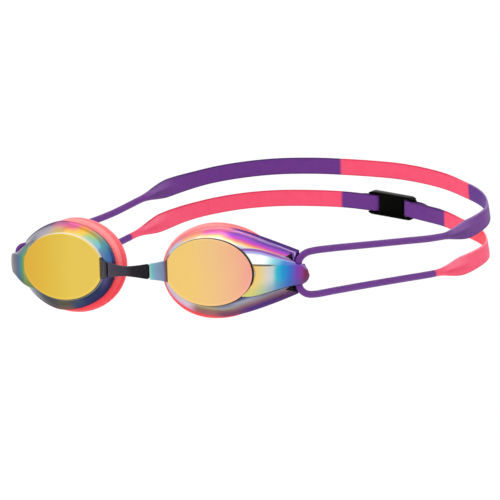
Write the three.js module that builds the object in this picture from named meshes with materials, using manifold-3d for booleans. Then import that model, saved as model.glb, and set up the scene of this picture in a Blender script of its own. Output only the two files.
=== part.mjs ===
// Mirrored racing swim goggles: two one-piece eyecups with silicone gaskets, a flexible nose
// bridge, and a split silicone strap that threads both temple loops and closes in a back buckle.
// Millimetres. -Y is forward through the lenses, +Z is up, and the side with x > 0 is called right.
// The origin is the nose seat, midway between the eyecups.
import * as THREE from 'three';
import { mergeVertices } from 'three/addons/utils/BufferGeometryUtils.js';
import Module from 'manifold-3d';

const wasm = await Module();
wasm.setup();

// ---- driving dimensions ------------------------------------------------------------------
const GAP = 0.3;                       // air kept between touching pieces
const RING_STEPS = 60;                 // points round an eyecup or gasket outline

const OVAL = { x: 39.5, y: 1.9, halfWide: 22.5, halfHigh: 14.8 };   // flat optical face
const FACE_TURN = THREE.MathUtils.degToRad(3.1);                    // each face turns back
const WALL = 1.7;                      // moulded polycarbonate wall
const FACE_THICK = 2.2;                // thicker optical wall
const BULGE = 0.9;                     // the skirt swells this far between face and rim

const RIM = { nose: 13.5, tip: 74.4, halfHigh: 19.4, tipHalfHigh: 9.0, drop: -0.5, power: 1.5 };
const RIM_Y = { nose: 5.5, sweep: 16.5, power: 3.0, lean: 0.08 };   // sweeps back to the temple

const SEAL = { x: 37.9, halfWide: 24.0, halfHigh: 17.6 };           // gasket centre line
const TUNNEL = { x: 76.0, y: 18.4, z: -1.1, bore: 1.95, halfHigh: 4.2 };
const LOOP = { x: 76.3, y: 18.7, radius: 3.15 };                    // wall round the tunnel

// Tongue from the oval to the loop: front face from start to end, heights at root and tip.
const TONGUE = { startX: 55, startY: 3.0, endX: 80.3, endY: 18.4, sweep: 1.75, rootHalf: 10.3, tipHalf: 4.3,
  round: 0.885, panelRoot: 4.3, panelTip: 3.1, wall: 2.0, shelf: 4.0 };
const CORD_CLEAR_X = 74.0;             // nothing of the rails stands beyond this, where the cord runs

const CORD_R = 1.55;                   // round strap cord
const BAND = { wide: 7.7, thick: 1.3, chamfer: 0.4 };
const LEAF = { wide: 8.6, opens: 24, settles: 52 };                 // widest just past the cord
const HEAD_MIDDLE_Y = 90;              // the strap leans towards this point of the head
const BAND_TILT = THREE.MathUtils.degToRad(8);                      // top edge leans to the head

const BRIDGE = { end: 10.7, waistHigh: 4.4, endHigh: 6.9, thick: 2.0, endThick: 1.3, bowY: -4.9, bow: 1.9 };
const TAB = { inner: 11.7, innerY: -2.85, outer: 18.2, outerY: 1.8, innerHigh: 7.2, outerHigh: 9.8,
  innerThick: 1.3, outerThick: 1.9 };
const HOOK = [[8.4, -3.3], [10.3, -2.4], [10.9, -1.2], [13.6, 0.9], [13.0, 1.8], [9.6, -0.6], [8.0, -2.6]];

const BUCKLE = { x: -4.8, long: 26.1, high: 10.9, corner: 3.4, plate: 1.7, wallDeep: 4.0, plateHalf: 6.3,
  slot: 2.3 };
const TAIL = { long: 17, clear: 1.2, step: 0.6, trim: 0.5 };         // trimmed along its top edge

const COLORS = { purple: '#72438a', pink: '#f55d78', coral: '#ff6674', charcoal: '#3c3740',
  black: '#1b1b19', gold: '#e2be50' };

// ---- small helpers -----------------------------------------------------------------------
const vec = (x, y, z) => new THREE.Vector3(x, y, z);
const mix = (a, b, t) => a + (b - a) * t;
const smooth = (a, b, x) => THREE.MathUtils.smoothstep(x, a, b);

function material(color, roughness, metalness = 0) {
  return new THREE.MeshStandardMaterial({ color, roughness, metalness });
}

function signedVolume(points, faces) {
  let volume = 0;
  for (const [a, b, c] of faces) {
    volume += points[a].dot(vec().crossVectors(points[b], points[c])) / 6;
  }
  return volume;
}

function geometryFrom(points, faces) {
  const outward = signedVolume(points, faces) > 0;
  const index = faces.flatMap(([a, b, c]) => (outward ? [a, b, c] : [a, c, b]));
  const geometry = new THREE.BufferGeometry();
  const numbers = points.flatMap((p) => p.toArray());
  geometry.setAttribute('position', new THREE.Float32BufferAttribute(numbers, 3));
  geometry.setIndex(index);
  return geometry;
}

// Closed solid through rings of equal point counts: capped at both ends, or joined into a loop.
function loft(rings, loop = false) {
  const count = rings[0].length;
  const points = rings.flat();
  const faces = [];
  const last = loop ? rings.length : rings.length - 1;
  for (let r = 0; r < last; r += 1) {
    const here = r * count;
    const next = ((r + 1) % rings.length) * count;
    for (let i = 0; i < count; i += 1) {
      const j = (i + 1) % count;
      faces.push([here + i, here + j, next + j], [here + i, next + j, next + i]);
    }
  }
  if (!loop) {
    for (const [ring, flip] of [[0, true], [rings.length - 1, false]]) {
      const middle = vec(0, 0, 0);
      rings[ring].forEach((p) => middle.addScaledVector(p, 1 / count));
      points.push(middle);
      for (let i = 0; i < count; i += 1) {
        const a = ring * count + i;
        const b = ring * count + ((i + 1) % count);
        faces.push(flip ? [points.length - 1, b, a] : [points.length - 1, a, b]);
      }
    }
  }
  return geometryFrom(points, faces);
}

function toSolid(geometry) {
  const bare = geometry.clone();
  bare.deleteAttribute('normal');
  bare.deleteAttribute('uv');
  const merged = mergeVertices(bare, 1e-5);
  return new wasm.Manifold(new wasm.Mesh({
    numProp: 3,
    vertProperties: new Float32Array(merged.getAttribute('position').array),
    triVerts: new Uint32Array(merged.getIndex().array),
  }));
}

function toGeometry(solid) {
  const { vertProperties, triVerts } = solid.getMesh();
  const geometry = new THREE.BufferGeometry();
  geometry.setAttribute('position', new THREE.Float32BufferAttribute(vertProperties, 3));
  geometry.setIndex([...triVerts]);
  return geometry;
}

// The other side of the goggles: x is negated and each face is turned over again.
function mirrored(geometry) {
  const copy = geometry.clone();
  const position = copy.getAttribute('position');
  for (let i = 0; i < position.count; i += 1) {
    position.setX(i, -position.getX(i));
  }
  const index = copy.getIndex().array.slice();
  for (let i = 0; i < index.length; i += 3) {
    [index[i + 1], index[i + 2]] = [index[i + 2], index[i + 1]];
  }
  copy.setIndex([...index]);
  return copy;
}

function extrudeUp(outline, low, high) {
  const shape = new THREE.Shape(outline.map(([x, y]) => new THREE.Vector2(x, y)));
  const geometry = new THREE.ExtrudeGeometry(shape, { depth: high - low, bevelEnabled: false });
  return geometry.translate(0, 0, low);
}

// Prism over an outline given in x and z, running along y.
function extrudeBack(outline, front, rear) {
  return extrudeUp(outline, 0, rear - front).rotateX(Math.PI / 2).translate(0, rear, 0);
}

function standingCylinder(x, y, radius, low, high, sides = 24) {
  const geometry = new THREE.CylinderGeometry(radius, radius, high - low, sides);
  return geometry.rotateX(Math.PI / 2).translate(x, y, (low + high) / 2);
}

// ---- eyecup outlines (right eyecup, x > 0) ---------------------------------------------------
const angles = Array.from({ length: RING_STEPS }, (_, i) => (2 * Math.PI * i) / RING_STEPS);

function ovalRing(inset, back) {
  return angles.map((t) => {
    const along = (OVAL.halfWide - inset) * Math.cos(t);
    const high = (OVAL.halfHigh - inset) * Math.sin(t);
    return vec(
      OVAL.x + along * Math.cos(FACE_TURN) - back * Math.sin(FACE_TURN),
      OVAL.y + along * Math.sin(FACE_TURN) + back * Math.cos(FACE_TURN),
      high,
    );
  });
}

function rimY(x, z = 0) {
  const reach = THREE.MathUtils.clamp((x - RIM.nose) / (RIM.tip - RIM.nose), 0, 1.2);
  return RIM_Y.nose + RIM_Y.sweep * reach ** RIM_Y.power + RIM_Y.lean * z;
}

function rimRing(inset, back) {
  const middle = (RIM.nose + RIM.tip) / 2;
  const half = (RIM.tip - RIM.nose) / 2 - inset;
  const bluntFrom = Math.sin(THREE.MathUtils.degToRad(11));
  return angles.map((t) => {
    const x = middle + half * Math.cos(t);
    const side = Math.sin(t);
    let z = (RIM.halfHigh - inset) * Math.sign(side) * Math.abs(side) ** 0.9;
    if (x > middle) {
      const reach = (x - middle) / half;
      const blunt = Math.min(1, Math.abs(side) / bluntFrom);
      const taper = mix(RIM.tipHalfHigh, RIM.halfHigh, 1 - reach ** RIM.power) - inset;
      z = Math.sign(side) * taper * blunt + RIM.drop * reach;
    }
    return vec(x, rimY(x, z) + back, z);
  });
}

function blendRings(front, rear, t) {
  return front.map((p, i) => {
    const q = p.clone().lerp(rear[i], t);
    const out = vec(q.x - OVAL.x, 0, q.z).normalize();
    return q.addScaledVector(out, BULGE * Math.sin(Math.PI * t));
  });
}

// Tapered body from the oval to the rim, run on past the rim so that it can be trimmed there.
function eyecupBody(inset, frontBack) {
  const front = ovalRing(inset, frontBack);
  const rear = rimRing(inset, 0);
  const rings = [front, blendRings(front, rear, 0.35), blendRings(front, rear, 0.7), rear, rimRing(inset, 6)];
  return toSolid(loft(rings));
}

// Everything behind the swept and leaning rim.
function behindRim() {
  const outline = [];
  for (let x = 0; x <= 90; x += 3) {
    outline.push([x, rimY(x)]);
  }
  const lean = new THREE.Matrix4().makeShear(0, 0, 0, 0, 0, RIM_Y.lean);
  return toSolid(extrudeUp([...outline, [90, 60], [0, 60]], -40, 40).applyMatrix4(lean));
}

function sealPoint(t, grow) {
  return [SEAL.x + (SEAL.halfWide + grow) * Math.cos(t), (SEAL.halfHigh + grow) * Math.sin(t)];
}

// Wall that closes the eye cavity on its temple side, behind the optical face.
function templeWall() {
  const outline = [];
  const steps = 14;
  const reach = THREE.MathUtils.degToRad(72);
  for (const [grow, from, to] of [[WALL / 2, -reach, reach], [-WALL / 2, reach, -reach]]) {
    for (let i = 0; i <= steps; i += 1) {
      outline.push(sealPoint(mix(from, to, i / steps), grow));
    }
  }
  return toSolid(extrudeBack(outline, 0, 30));
}

// Wall just inside the rim at the temple end, which backs the two small windows.
function windowBack() {
  const front = [66, 70, CORD_CLEAR_X].map((x) => [x, rimY(x) - 2.2]);
  const rear = [CORD_CLEAR_X, 70, 66].map((x) => [x, rimY(x) + 3]);
  return toSolid(extrudeUp([...front, ...rear], -12, 12));
}

// Small windows between the tongue and the upper and lower rails, widest beside the cord.
function window(side) {
  const upper = [[70.6, 6.5], [72.6, 8.1], [75.5, 7.4], [75.5, 4.2]];
  const lower = [[70.6, -7.9], [72.2, -6.4], [75.5, -6.2], [75.5, -8.2], [73.2, -9.1]];
  return toSolid(extrudeBack(side > 0 ? upper : lower, 8, 19.4));
}

// ---- tongue and loop ---------------------------------------------------------------------------
function tongueAt(share) {
  const beyond = Math.max(0, (share - TONGUE.round) / (1 - TONGUE.round));
  const taper = mix(TONGUE.rootHalf, TONGUE.tipHalf, smooth(0.1, 1, share));
  const half = taper * Math.sqrt(1 - beyond ** 2);
  const level = TUNNEL.z * share ** 2;
  const top = level + half;
  return {
    x: mix(TONGUE.startX, TONGUE.endX, share),
    y: mix(TONGUE.startY, TONGUE.endY, share ** TONGUE.sweep),
    low: level - half,
    top,
    panel: Math.min(mix(TONGUE.panelRoot, TONGUE.panelTip, share), top - 0.25),
    crease: mix(mix(2.5, 4.1, Math.sin(Math.PI * share ** 0.8)), 1.0, smooth(0.82, 1, share)),
    shelf: mix(TONGUE.shelf, 0.6, smooth(0.72, 0.92, share)),
  };
}

// A flat front panel, a roof that slopes back to the crease and on to the skirt, and a floor.
function tongue() {
  const shares = [0, 0.2, 0.35, 0.5, 0.62, 0.74, 0.82, 0.885, 0.93, 0.965, 0.99];
  const walls = [
    (t) => [[0, t.low], [0, t.panel], [TONGUE.wall, t.panel], [TONGUE.wall, t.low]],
    (t) => [[0, t.panel], [t.crease, t.top], [t.crease + t.shelf, t.top + t.shelf / 5],
      [t.crease + t.shelf, t.top - 0.7], [TONGUE.wall, t.panel - 0.6]],
    (t) => [[0, t.low], [0, t.low + 0.5], [1.6 + t.shelf, t.low + 0.5], [1.6 + t.shelf, t.low - 0.2]],
  ];
  const solids = walls.map((wall) => toSolid(loft(shares.map((share) => {
    const t = tongueAt(share);
    return wall(t).map(([back, z]) => vec(t.x, t.y + back, z));
  }))));
  return solids[0].add(solids[1]).add(solids[2]);
}

// The tongue's silhouette seen along y, which rounds off the loop behind it.
function tongueSilhouette() {
  const shares = [0.6, 0.7, 0.8, 0.885, 0.92, 0.95, 0.975, 0.99].map(tongueAt);
  const outline = [...shares.map((t) => [t.x, t.low]), ...shares.reverse().map((t) => [t.x, t.top])];
  return toSolid(extrudeBack(outline, 5, 30));
}

function templeLoop() {
  const low = TUNNEL.z - TUNNEL.halfHigh;
  const high = TUNNEL.z + TUNNEL.halfHigh;
  const wall = toSolid(standingCylinder(LOOP.x, LOOP.y, LOOP.radius, low, high));
  const web = [[71.5, 15.6], [75.6, 15.6], [76, 21.8], [73.8, 21.4], [71.5, 19.6]];
  return wall.add(toSolid(extrudeUp(web, low, high))).intersect(tongueSilhouette());
}

// Room for the cord: the tunnel itself and the open slot behind it above and below the loop.
function cordRoom() {
  const slot = [[CORD_CLEAR_X, TUNNEL.y], [90, TUNNEL.y], [90, 40], [CORD_CLEAR_X, 40]];
  const above = toSolid(extrudeUp(slot, TUNNEL.z + TUNNEL.halfHigh, 30));
  const below = toSolid(extrudeUp(slot, -30, TUNNEL.z - TUNNEL.halfHigh));
  return toSolid(standingCylinder(TUNNEL.x, TUNNEL.y, TUNNEL.bore, -30, 30)).add(above).add(below);
}

function noseTab() {
  const reach = vec(TAB.outer - TAB.inner, TAB.outerY - TAB.innerY, 0).normalize();
  const across = vec(-reach.y, reach.x, 0);
  const rings = [0, 0.4, 1].map((t) => {
    const x = mix(TAB.inner, TAB.outer, t);
    const y = mix(TAB.innerY, TAB.outerY, t) - 0.35 * Math.sin(Math.PI * t);
    const half = mix(TAB.innerHigh, TAB.outerHigh, t ** 1.6) / 2;
    const deep = mix(TAB.innerThick, TAB.outerThick, t) / 2;
    return [[1, 1], [1, -1], [-1, -1], [-1, 1]].map(([side, up]) => vec(x, y, up * half)
      .addScaledVector(across, side * deep));
  });
  return toSolid(loft(rings));
}

function eyecup() {
  const outer = eyecupBody(0, 0);
  const hollow = eyecupBody(WALL, FACE_THICK);
  const eyeSpace = toSolid(extrudeBack(angles.map((t) => sealPoint(t, -WALL / 2)), 0, 40)).intersect(hollow);
  const walls = templeWall().add(windowBack()).intersect(outer);
  const shell = outer.subtract(hollow).add(walls).subtract(behindRim());
  const solid = shell.subtract(window(1)).subtract(window(-1))
    .add(tongue().subtract(eyeSpace).subtract(behindRim()))
    .add(templeLoop())
    .add(noseTab().subtract(hollow))
    .subtract(cordRoom());
  return toGeometry(solid);
}

// ---- gasket ring ---------------------------------------------------------------------------
// Section in (outward, back) from the rim: a thin seat on the eyecup and a fat rounded lip.
const SEAL_SECTION = [[-2.2, 0], [1.1, 0], [2.5, 1.3], [3.3, 3.2], [3.1, 5.2], [1.7, 6.7], [-0.4, 7.0],
  [-2.0, 5.9], [-2.6, 4.0], [-2.6, 1.8]];

function gasket() {
  const rings = angles.map((t) => {
    const centre = vec(SEAL.x + SEAL.halfWide * Math.cos(t), 0, SEAL.halfHigh * Math.sin(t));
    const out = vec(Math.cos(t) / SEAL.halfWide, 0, Math.sin(t) / SEAL.halfHigh).normalize();
    return SEAL_SECTION.map(([outward, back]) => {
      const p = centre.clone().addScaledVector(out, outward);
      return p.setY(rimY(p.x, p.z) + GAP + back);
    });
  });
  return loft(rings, true);
}

// ---- nose bridge ---------------------------------------------------------------------------
function bridge() {
  const steps = 12;
  const corner = 0.4;
  const rings = [];
  for (let i = 0; i <= steps; i += 1) {
    const x = mix(-BRIDGE.end, BRIDGE.end, i / steps);
    const reach = Math.abs(x) / BRIDGE.end;
    const y = BRIDGE.bowY + BRIDGE.bow * reach ** 2;
    const half = mix(BRIDGE.waistHigh, BRIDGE.endHigh, reach ** 1.6) / 2;
    const deep = mix(BRIDGE.thick, BRIDGE.endThick, reach ** 2) / 2;
    rings.push([[deep, half - corner], [deep, corner - half], [deep - corner, -half], [corner - deep, -half],
      [-deep, corner - half], [-deep, half - corner], [corner - deep, half], [deep - corner, half]]
      .map(([back, up]) => vec(x, y + back, up)));
  }
  let solid = toSolid(loft(rings));
  for (const side of [-1, 1]) {
    solid = solid.add(toSolid(extrudeUp(HOOK.map(([x, y]) => [side * x, y]), -1.6, 1.6)));
  }
  return toGeometry(solid);
}

// ---- strap routes --------------------------------------------------------------------------
// Each route runs from the right temple loop round the back of the head to the left temple loop.
const UPPER_ROUTE = [
  [76, 18.4, 2.7], [76, 18.7, 4.4], [76.2, 20.4, 6.3], [76.5, 23.6, 7.6], [76.9, 28.5, 8.1], [77.8, 42, 7.9],
  [78.9, 65, 7.0], [79.9, 95, 5.8], [80.5, 120, 4.9], [80.1, 137.5, 5.2], [79.1, 153.5, 6.8],
  [75.7, 170, 9.6], [68, 183, 12.3], [56.6, 194.7, 15.2], [40.2, 204.6, 18.3], [27.7, 209.3, 20.8],
  [14.1, 212.2, 22.8], [0, 213, 24.4], [-14.1, 212.2, 25.3], [-27.7, 209.7, 26.0],
  [-40.5, 205.6, 26.6], [-57.3, 196.9, 26.7],
  [-69.3, 186.4, 25.8], [-77.4, 174.3, 24.4], [-81, 158, 22.6], [-81.2, 140, 20.8], [-80.8, 122, 18.2],
  [-79.9, 95, 13.4], [-78.9, 65, 10.0], [-77.8, 42, 7.6], [-76.8, 28.5, 6.2], [-76.4, 24, 5.9],
  [-76.2, 21.2, 5.7], [-76.1, 19.5, 5.0], [-76, 18.6, 4.0], [-76, 18.4, 2.7],
];
const LOWER_ROUTE = [
  [76, 18.4, -4.9], [76, 18.6, -6.6], [76.2, 20.2, -8.6], [76.5, 23.6, -10.3], [76.9, 28.5, -11.0],
  [77.8, 42, -10.9], [78.9, 65, -10.8], [79.9, 95, -10.9], [80.5, 120, -11.0], [80.1, 137.5, -10.3],
  [78.7, 153.5, -8.8], [74.9, 170, -6.6], [67, 183, -4.5], [56, 194.7, -2.3], [39.8, 204.6, 0.4],
  [27.7, 209.3, 3.2], [14.1, 212.2, 5.3], [0, 213, 7.5], [-14.1, 212.2, 9.3], [-27.7, 209.7, 10.7],
  [-40.5, 205.6, 11.4], [-57.3, 196.9, 11.8], [-69.3, 186.4, 11.2], [-77.4, 174.3, 9.9], [-81, 158, 8.3],
  [-81.2, 140, 6.2], [-80.8, 122, 3.5], [-79.9, 95, -1.2], [-78.9, 65, -5.6], [-77.8, 42, -7.7],
  [-76.8, 28.5, -8.2], [-76.4, 24, -8.1], [-76.2, 21.2, -7.9], [-76.1, 19.5, -7.2], [-76, 18.6, -6.2],
  [-76, 18.4, -4.9],
];

function routeCurve(route) {
  const curve = new THREE.CatmullRomCurve3(route.map((p) => vec(...p)), false, 'centripetal');
  curve.arcLengthDivisions = 2000;
  return curve;
}

// Arc-length fraction where the route first meets a test, such as crossing a given x or y.
function fractionWhere(curve, test) {
  const steps = 3000;
  for (let i = 0; i <= steps; i += 1) {
    if (test(curve.getPointAt(i / steps))) {
      return i / steps;
    }
  }
  throw new Error('the route never meets the test');
}

// Centre, width direction and thickness direction of the strap. Near the loops the route runs
// up or down, and there the section turns with the bend so that it never flips over.
function sectionFrame(curve, u) {
  const tangent = curve.getTangentAt(u);
  const point = curve.getPointAt(u);
  const inward = vec(-point.x, HEAD_MIDDLE_Y - point.y, 0).normalize();
  const lean = BAND_TILT * smooth(100, 185, point.y);
  const up = vec(0, 0, Math.cos(lean)).addScaledVector(inward, Math.sin(lean));
  const climb = smooth(0.5, 0.95, Math.abs(tangent.z));
  const bent = vec(0, -Math.sign(tangent.z * point.x), 0);
  const upright = up.lerp(bent, climb);
  const wide = upright.addScaledVector(tangent, -upright.dot(tangent)).normalize();
  return { point, wide, thick: vec().crossVectors(tangent, wide).normalize() };
}

function sectionRing({ point, wide, thick }, halfWide, halfThick, chamfer) {
  const w = halfWide;
  const t = halfThick;
  const c = chamfer;
  return [[w, t - c], [w, c - t], [w - c, -t], [c - w, -t], [-w, c - t], [-w, t - c], [c - w, t], [w - c, t]]
    .map(([across, deep]) => point.clone().addScaledVector(wide, across).addScaledVector(thick, deep));
}

// Size of the strap at a distance (mm) past the place where the cord starts to open out.
function strapSize(past) {
  const open = smooth(0, LEAF.opens, past);
  const settle = smooth(LEAF.opens, LEAF.settles, past);
  const wide = mix(CORD_R * 2, mix(LEAF.wide, BAND.wide, settle), open);
  const deep = mix(CORD_R * 2, BAND.thick, open);
  const octagon = CORD_R * (2 - Math.SQRT2);
  return [wide / 2, deep / 2, mix(octagon, BAND.chamfer, open)];
}

// One stretch of the strap, with short steps near the loops so that the tight bends stay round.
function strapRun(curve, from, to, leaves) {
  const length = curve.getLength();
  const bend = 14 / length;
  const fine = 1.6 / length;
  const coarse = 6.5 / length;
  const cuts = [];
  for (let u = from; u < to - fine / 2;) {
    cuts.push(u);
    u += u < bend || u > 1 - bend - coarse ? fine : coarse;
  }
  cuts.push(to);
  return loft(cuts.map((u) => {
    const past = Math.min(u - leaves[0], leaves[1] - u) * length;
    return sectionRing(sectionFrame(curve, u), ...strapSize(past));
  }));
}

// ---- buckle and the strap ends it holds ------------------------------------------------------
const REAR = BAND.thick + 2 * GAP + BUCKLE.plate;                   // depth of a folded-back strap
const SLOT_MIDDLE = BUCKLE.plateHalf + BUCKLE.slot / 2;
const FOLD_REACH = 3.4;                // the folded strap end runs this far past the slot
const LIFT = 0.35;                     // and stands this far off the end bar

function buckleFrame(curve, u) {
  const { point, wide, thick } = sectionFrame(curve, u);
  const along = vec().crossVectors(thick, wide).normalize();
  return new THREE.Matrix4().makeBasis(along, thick, wide).setPosition(point);
}

function box(x0, x1, y0, y1, z0, z1) {
  const geometry = new THREE.BoxGeometry(x1 - x0, y1 - y0, z1 - z0);
  return toSolid(geometry.translate((x0 + x1) / 2, (y0 + y1) / 2, (z0 + z1) / 2));
}

// Buckle in its own frame: x along the strap, y outward from the head, z across the strap.
function buckle(frame) {
  const face = BAND.thick / 2 + GAP;
  const half = BUCKLE.long / 2;
  const high = BUCKLE.high / 2;
  const { corner } = BUCKLE;
  const outline = [];
  for (const [sx, sz, start] of [[1, 1, 0], [-1, 1, 90], [-1, -1, 180], [1, -1, 270]]) {
    for (let i = 0; i <= 4; i += 1) {
      const t = THREE.MathUtils.degToRad(start + i * 22.5);
      const x = sx * (half - corner) + corner * Math.cos(t);
      outline.push([x, sz * (high - corner) + corner * Math.sin(t)]);
    }
  }
  const inner = BAND.wide / 2 + 0.5;
  const low = face - 1.7;
  let solid = toSolid(extrudeBack(outline, low, low + BUCKLE.wallDeep));
  solid = solid.subtract(box(-half, half, low - 1, face, -inner, inner));
  solid = solid.subtract(box(-half, half, face + BUCKLE.plate, face + 9, -inner, inner));
  for (const side of [-1, 1]) {
    const ends = [side * (SLOT_MIDDLE - BUCKLE.slot / 2), side * (SLOT_MIDDLE + BUCKLE.slot / 2)];
    solid = solid.subtract(box(Math.min(...ends), Math.max(...ends), -10, 10, -inner, inner));
  }
  const raised = box(-BUCKLE.plateHalf, BUCKLE.plateHalf, face - 0.9, face + 0.1, -inner - 0.2, inner + 0.2);
  return toGeometry(solid.add(raised)).applyMatrix4(frame);
}

// Points of the strap end in the buckle's frame: over the end bar, down the slot, back round.
function foldPoints(side) {
  const flat = [[2.2, 0], [0.7, 0.25], [0, 1.3], [0, 2.1], [0.8, REAR + 0.1], [2.2, REAR + LIFT],
    [FOLD_REACH, REAR + LIFT]];
  return flat.map(([x, y]) => vec(side * (SLOT_MIDDLE + x), y, 0));
}

function strapEnd(curve, from, to, frame, side) {
  const size = [BAND.wide / 2, BAND.thick / 2, BAND.chamfer];
  const count = Math.max(2, Math.round(((to - from) * curve.getLength()) / 6));
  const rings = [];
  for (let i = 0; i <= count; i += 1) {
    rings.push(sectionRing(sectionFrame(curve, mix(from, to, i / count)), ...size));
  }
  if (side < 0) {
    rings.reverse();
  }
  const fold = new THREE.CatmullRomCurve3(foldPoints(side), false, 'centripetal');
  const wide = vec(0, 0, 1).transformDirection(frame);
  for (let i = 0; i <= 10; i += 1) {
    const point = fold.getPointAt(i / 10).applyMatrix4(frame);
    const tangent = fold.getTangentAt(i / 10).transformDirection(frame);
    const thick = vec().crossVectors(tangent, wide).normalize().multiplyScalar(side);
    rings.push(sectionRing({ point, wide, thick }, ...size));
  }
  return loft(rings);
}

// Free tail behind the strap: it starts at the fold and lies along the strap's outer face.
function tail(curve, middle, side) {
  const start = SLOT_MIDDLE + FOLD_REACH + GAP;
  const steps = 8;
  const rings = [];
  for (let i = 0; i <= steps; i += 1) {
    const past = start + (TAIL.long * i) / steps;
    const place = sectionFrame(curve, middle - (side * past) / curve.getLength());
    const lift = mix(REAR + LIFT + TAIL.step, BAND.thick + TAIL.clear, smooth(start + 2.5, start + 9, past));
    place.point.addScaledVector(place.thick, lift).addScaledVector(place.wide, -TAIL.trim);
    const half = BAND.wide / 2 - TAIL.trim - (i === steps ? 1.2 : 0);
    rings.push(sectionRing(place, half, BAND.thick / 2, BAND.chamfer));
  }
  return loft(rings);
}

// ---- assembly --------------------------------------------------------------------------------
const group = new THREE.Group();

function add(name, geometry, finish) {
  const mesh = new THREE.Mesh(geometry, finish);
  mesh.name = name;
  group.add(mesh);
}

const gold = material(COLORS.gold, 0.12, 0.9);
const coral = material(COLORS.coral, 0.5);
const purple = material(COLORS.purple, 0.45);
const pink = material(COLORS.pink, 0.45);

const cup = eyecup();
const seal = gasket();
const heldHalf = 1.9;                  // half the length of the short cord inside each loop
const held = standingCylinder(TUNNEL.x, TUNNEL.y, CORD_R, TUNNEL.z - heldHalf, TUNNEL.z + heldHalf, 8);
const shortCord = toGeometry(toSolid(held));
for (const [side, flip] of [['right', (g) => g], ['left', mirrored]]) {
  add(`eyecup_${side}`, flip(cup), gold);
  add(`gasket_${side}`, flip(seal), coral);
  add(`strap_loop_${side}`, flip(shortCord), purple);
}
add('nose_bridge', bridge(), material(COLORS.charcoal, 0.4));

// Places along a route, as fractions of its length.
const behindHead = (x) => (p) => p.y > 150 && p.x < x;
const rightBefore = (y) => (p) => p.y > y;
const leftAfter = (y) => (p) => p.x < 0 && p.y < y;

const upper = routeCurve(UPPER_ROUTE);
const upperGap = GAP / upper.getLength() / 2;
const upperLeaves = [fractionWhere(upper, rightBefore(126)), fractionWhere(upper, leftAfter(119))];
const upperCuts = [-upperGap, upperLeaves[0], fractionWhere(upper, behindHead(47)),
  fractionWhere(upper, behindHead(-29.5)), upperLeaves[1], 1 + upperGap];
['cord_right', 'right', 'centre', 'left', 'cord_left'].forEach((name, i) => {
  const run = strapRun(upper, upperCuts[i] + upperGap, upperCuts[i + 1] - upperGap, upperLeaves);
  add(`strap_upper_${name}`, run, name === 'centre' ? pink : purple);
});

const lower = routeCurve(LOWER_ROUTE);
const lowerGap = GAP / lower.getLength() / 2;
const lowerLeaves = [fractionWhere(lower, rightBefore(120)), fractionWhere(lower, leftAfter(113.3))];
const pinkRight = [fractionWhere(lower, rightBefore(118)), fractionWhere(lower, behindHead(27.5))];
const pinkLeft = [fractionWhere(lower, behindHead(-29.5)), fractionWhere(lower, leftAfter(109.8))];
const buckleAt = fractionWhere(lower, (p) => p.x < BUCKLE.x);
const barEnd = (SLOT_MIDDLE + FOLD_REACH + 0.6) / lower.getLength();
const frame = buckleFrame(lower, buckleAt);

const lowerRun = (from, to) => strapRun(lower, from, to, lowerLeaves);
add('strap_lower_cord_right', lowerRun(0, pinkRight[0] - lowerGap), purple);
add('strap_lower_leaf_right', lowerRun(pinkRight[0] + lowerGap, pinkRight[1] - lowerGap), pink);
add('strap_end_right', strapEnd(lower, pinkRight[1] + lowerGap, buckleAt - barEnd, frame, 1), purple);
add('strap_end_left', strapEnd(lower, buckleAt + barEnd, pinkLeft[0] - lowerGap, frame, -1), purple);
add('strap_lower_leaf_left', lowerRun(pinkLeft[0] + lowerGap, pinkLeft[1] - lowerGap), pink);
add('strap_lower_cord_left', lowerRun(pinkLeft[1] + lowerGap, 1), purple);
add('strap_tail_right', tail(lower, buckleAt, 1), purple);
add('strap_tail_left', tail(lower, buckleAt, -1), purple);
add('buckle', buckle(frame), material(COLORS.black, 0.2));

export default group;
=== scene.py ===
# The looks of the swim goggles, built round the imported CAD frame.
# Shapes are worked out in millimetres in the frame's own axes and scaled to metres when a mesh
# is made. +X is across the face, -Y is forward through the lenses, +Z is up.
import math

import bmesh
import bpy
import numpy as np
from mathutils import Matrix, Vector


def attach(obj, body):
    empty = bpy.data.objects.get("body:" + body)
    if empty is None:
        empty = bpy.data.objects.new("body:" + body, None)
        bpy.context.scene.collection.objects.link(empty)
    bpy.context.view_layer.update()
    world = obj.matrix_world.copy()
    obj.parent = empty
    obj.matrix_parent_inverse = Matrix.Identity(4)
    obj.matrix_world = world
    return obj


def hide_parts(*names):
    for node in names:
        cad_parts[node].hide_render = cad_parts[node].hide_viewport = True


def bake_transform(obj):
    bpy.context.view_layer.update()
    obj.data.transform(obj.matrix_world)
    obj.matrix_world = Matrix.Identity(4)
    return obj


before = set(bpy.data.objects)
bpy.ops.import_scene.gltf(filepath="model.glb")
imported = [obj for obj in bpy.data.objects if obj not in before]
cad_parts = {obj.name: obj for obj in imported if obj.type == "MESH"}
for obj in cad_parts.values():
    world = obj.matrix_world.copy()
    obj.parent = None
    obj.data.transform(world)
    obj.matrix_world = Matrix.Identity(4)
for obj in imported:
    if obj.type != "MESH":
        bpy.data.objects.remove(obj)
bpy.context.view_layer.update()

MM = 0.001

# ---- camera, light and floor dimensions ----
CAMERA = {"azimuth": 35.0, "elevation": 5.7, "roll": 1.8, "distance": 3.0, "lens": 491.5}
CAMERA_AIM = (0.0517, 0.0088)  # metres right of and above the nose seat, across the view
SKY_STRENGTH = 1.05
KEY = {"place": (-0.6, -1.1, 1.5), "size": 2.2, "power": 7.0}
LIGHT_AIM = (0, 0.08, 0)
FLOOR = {"below": 0.30, "radius": 30.0, "shade": 0.96}

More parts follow.
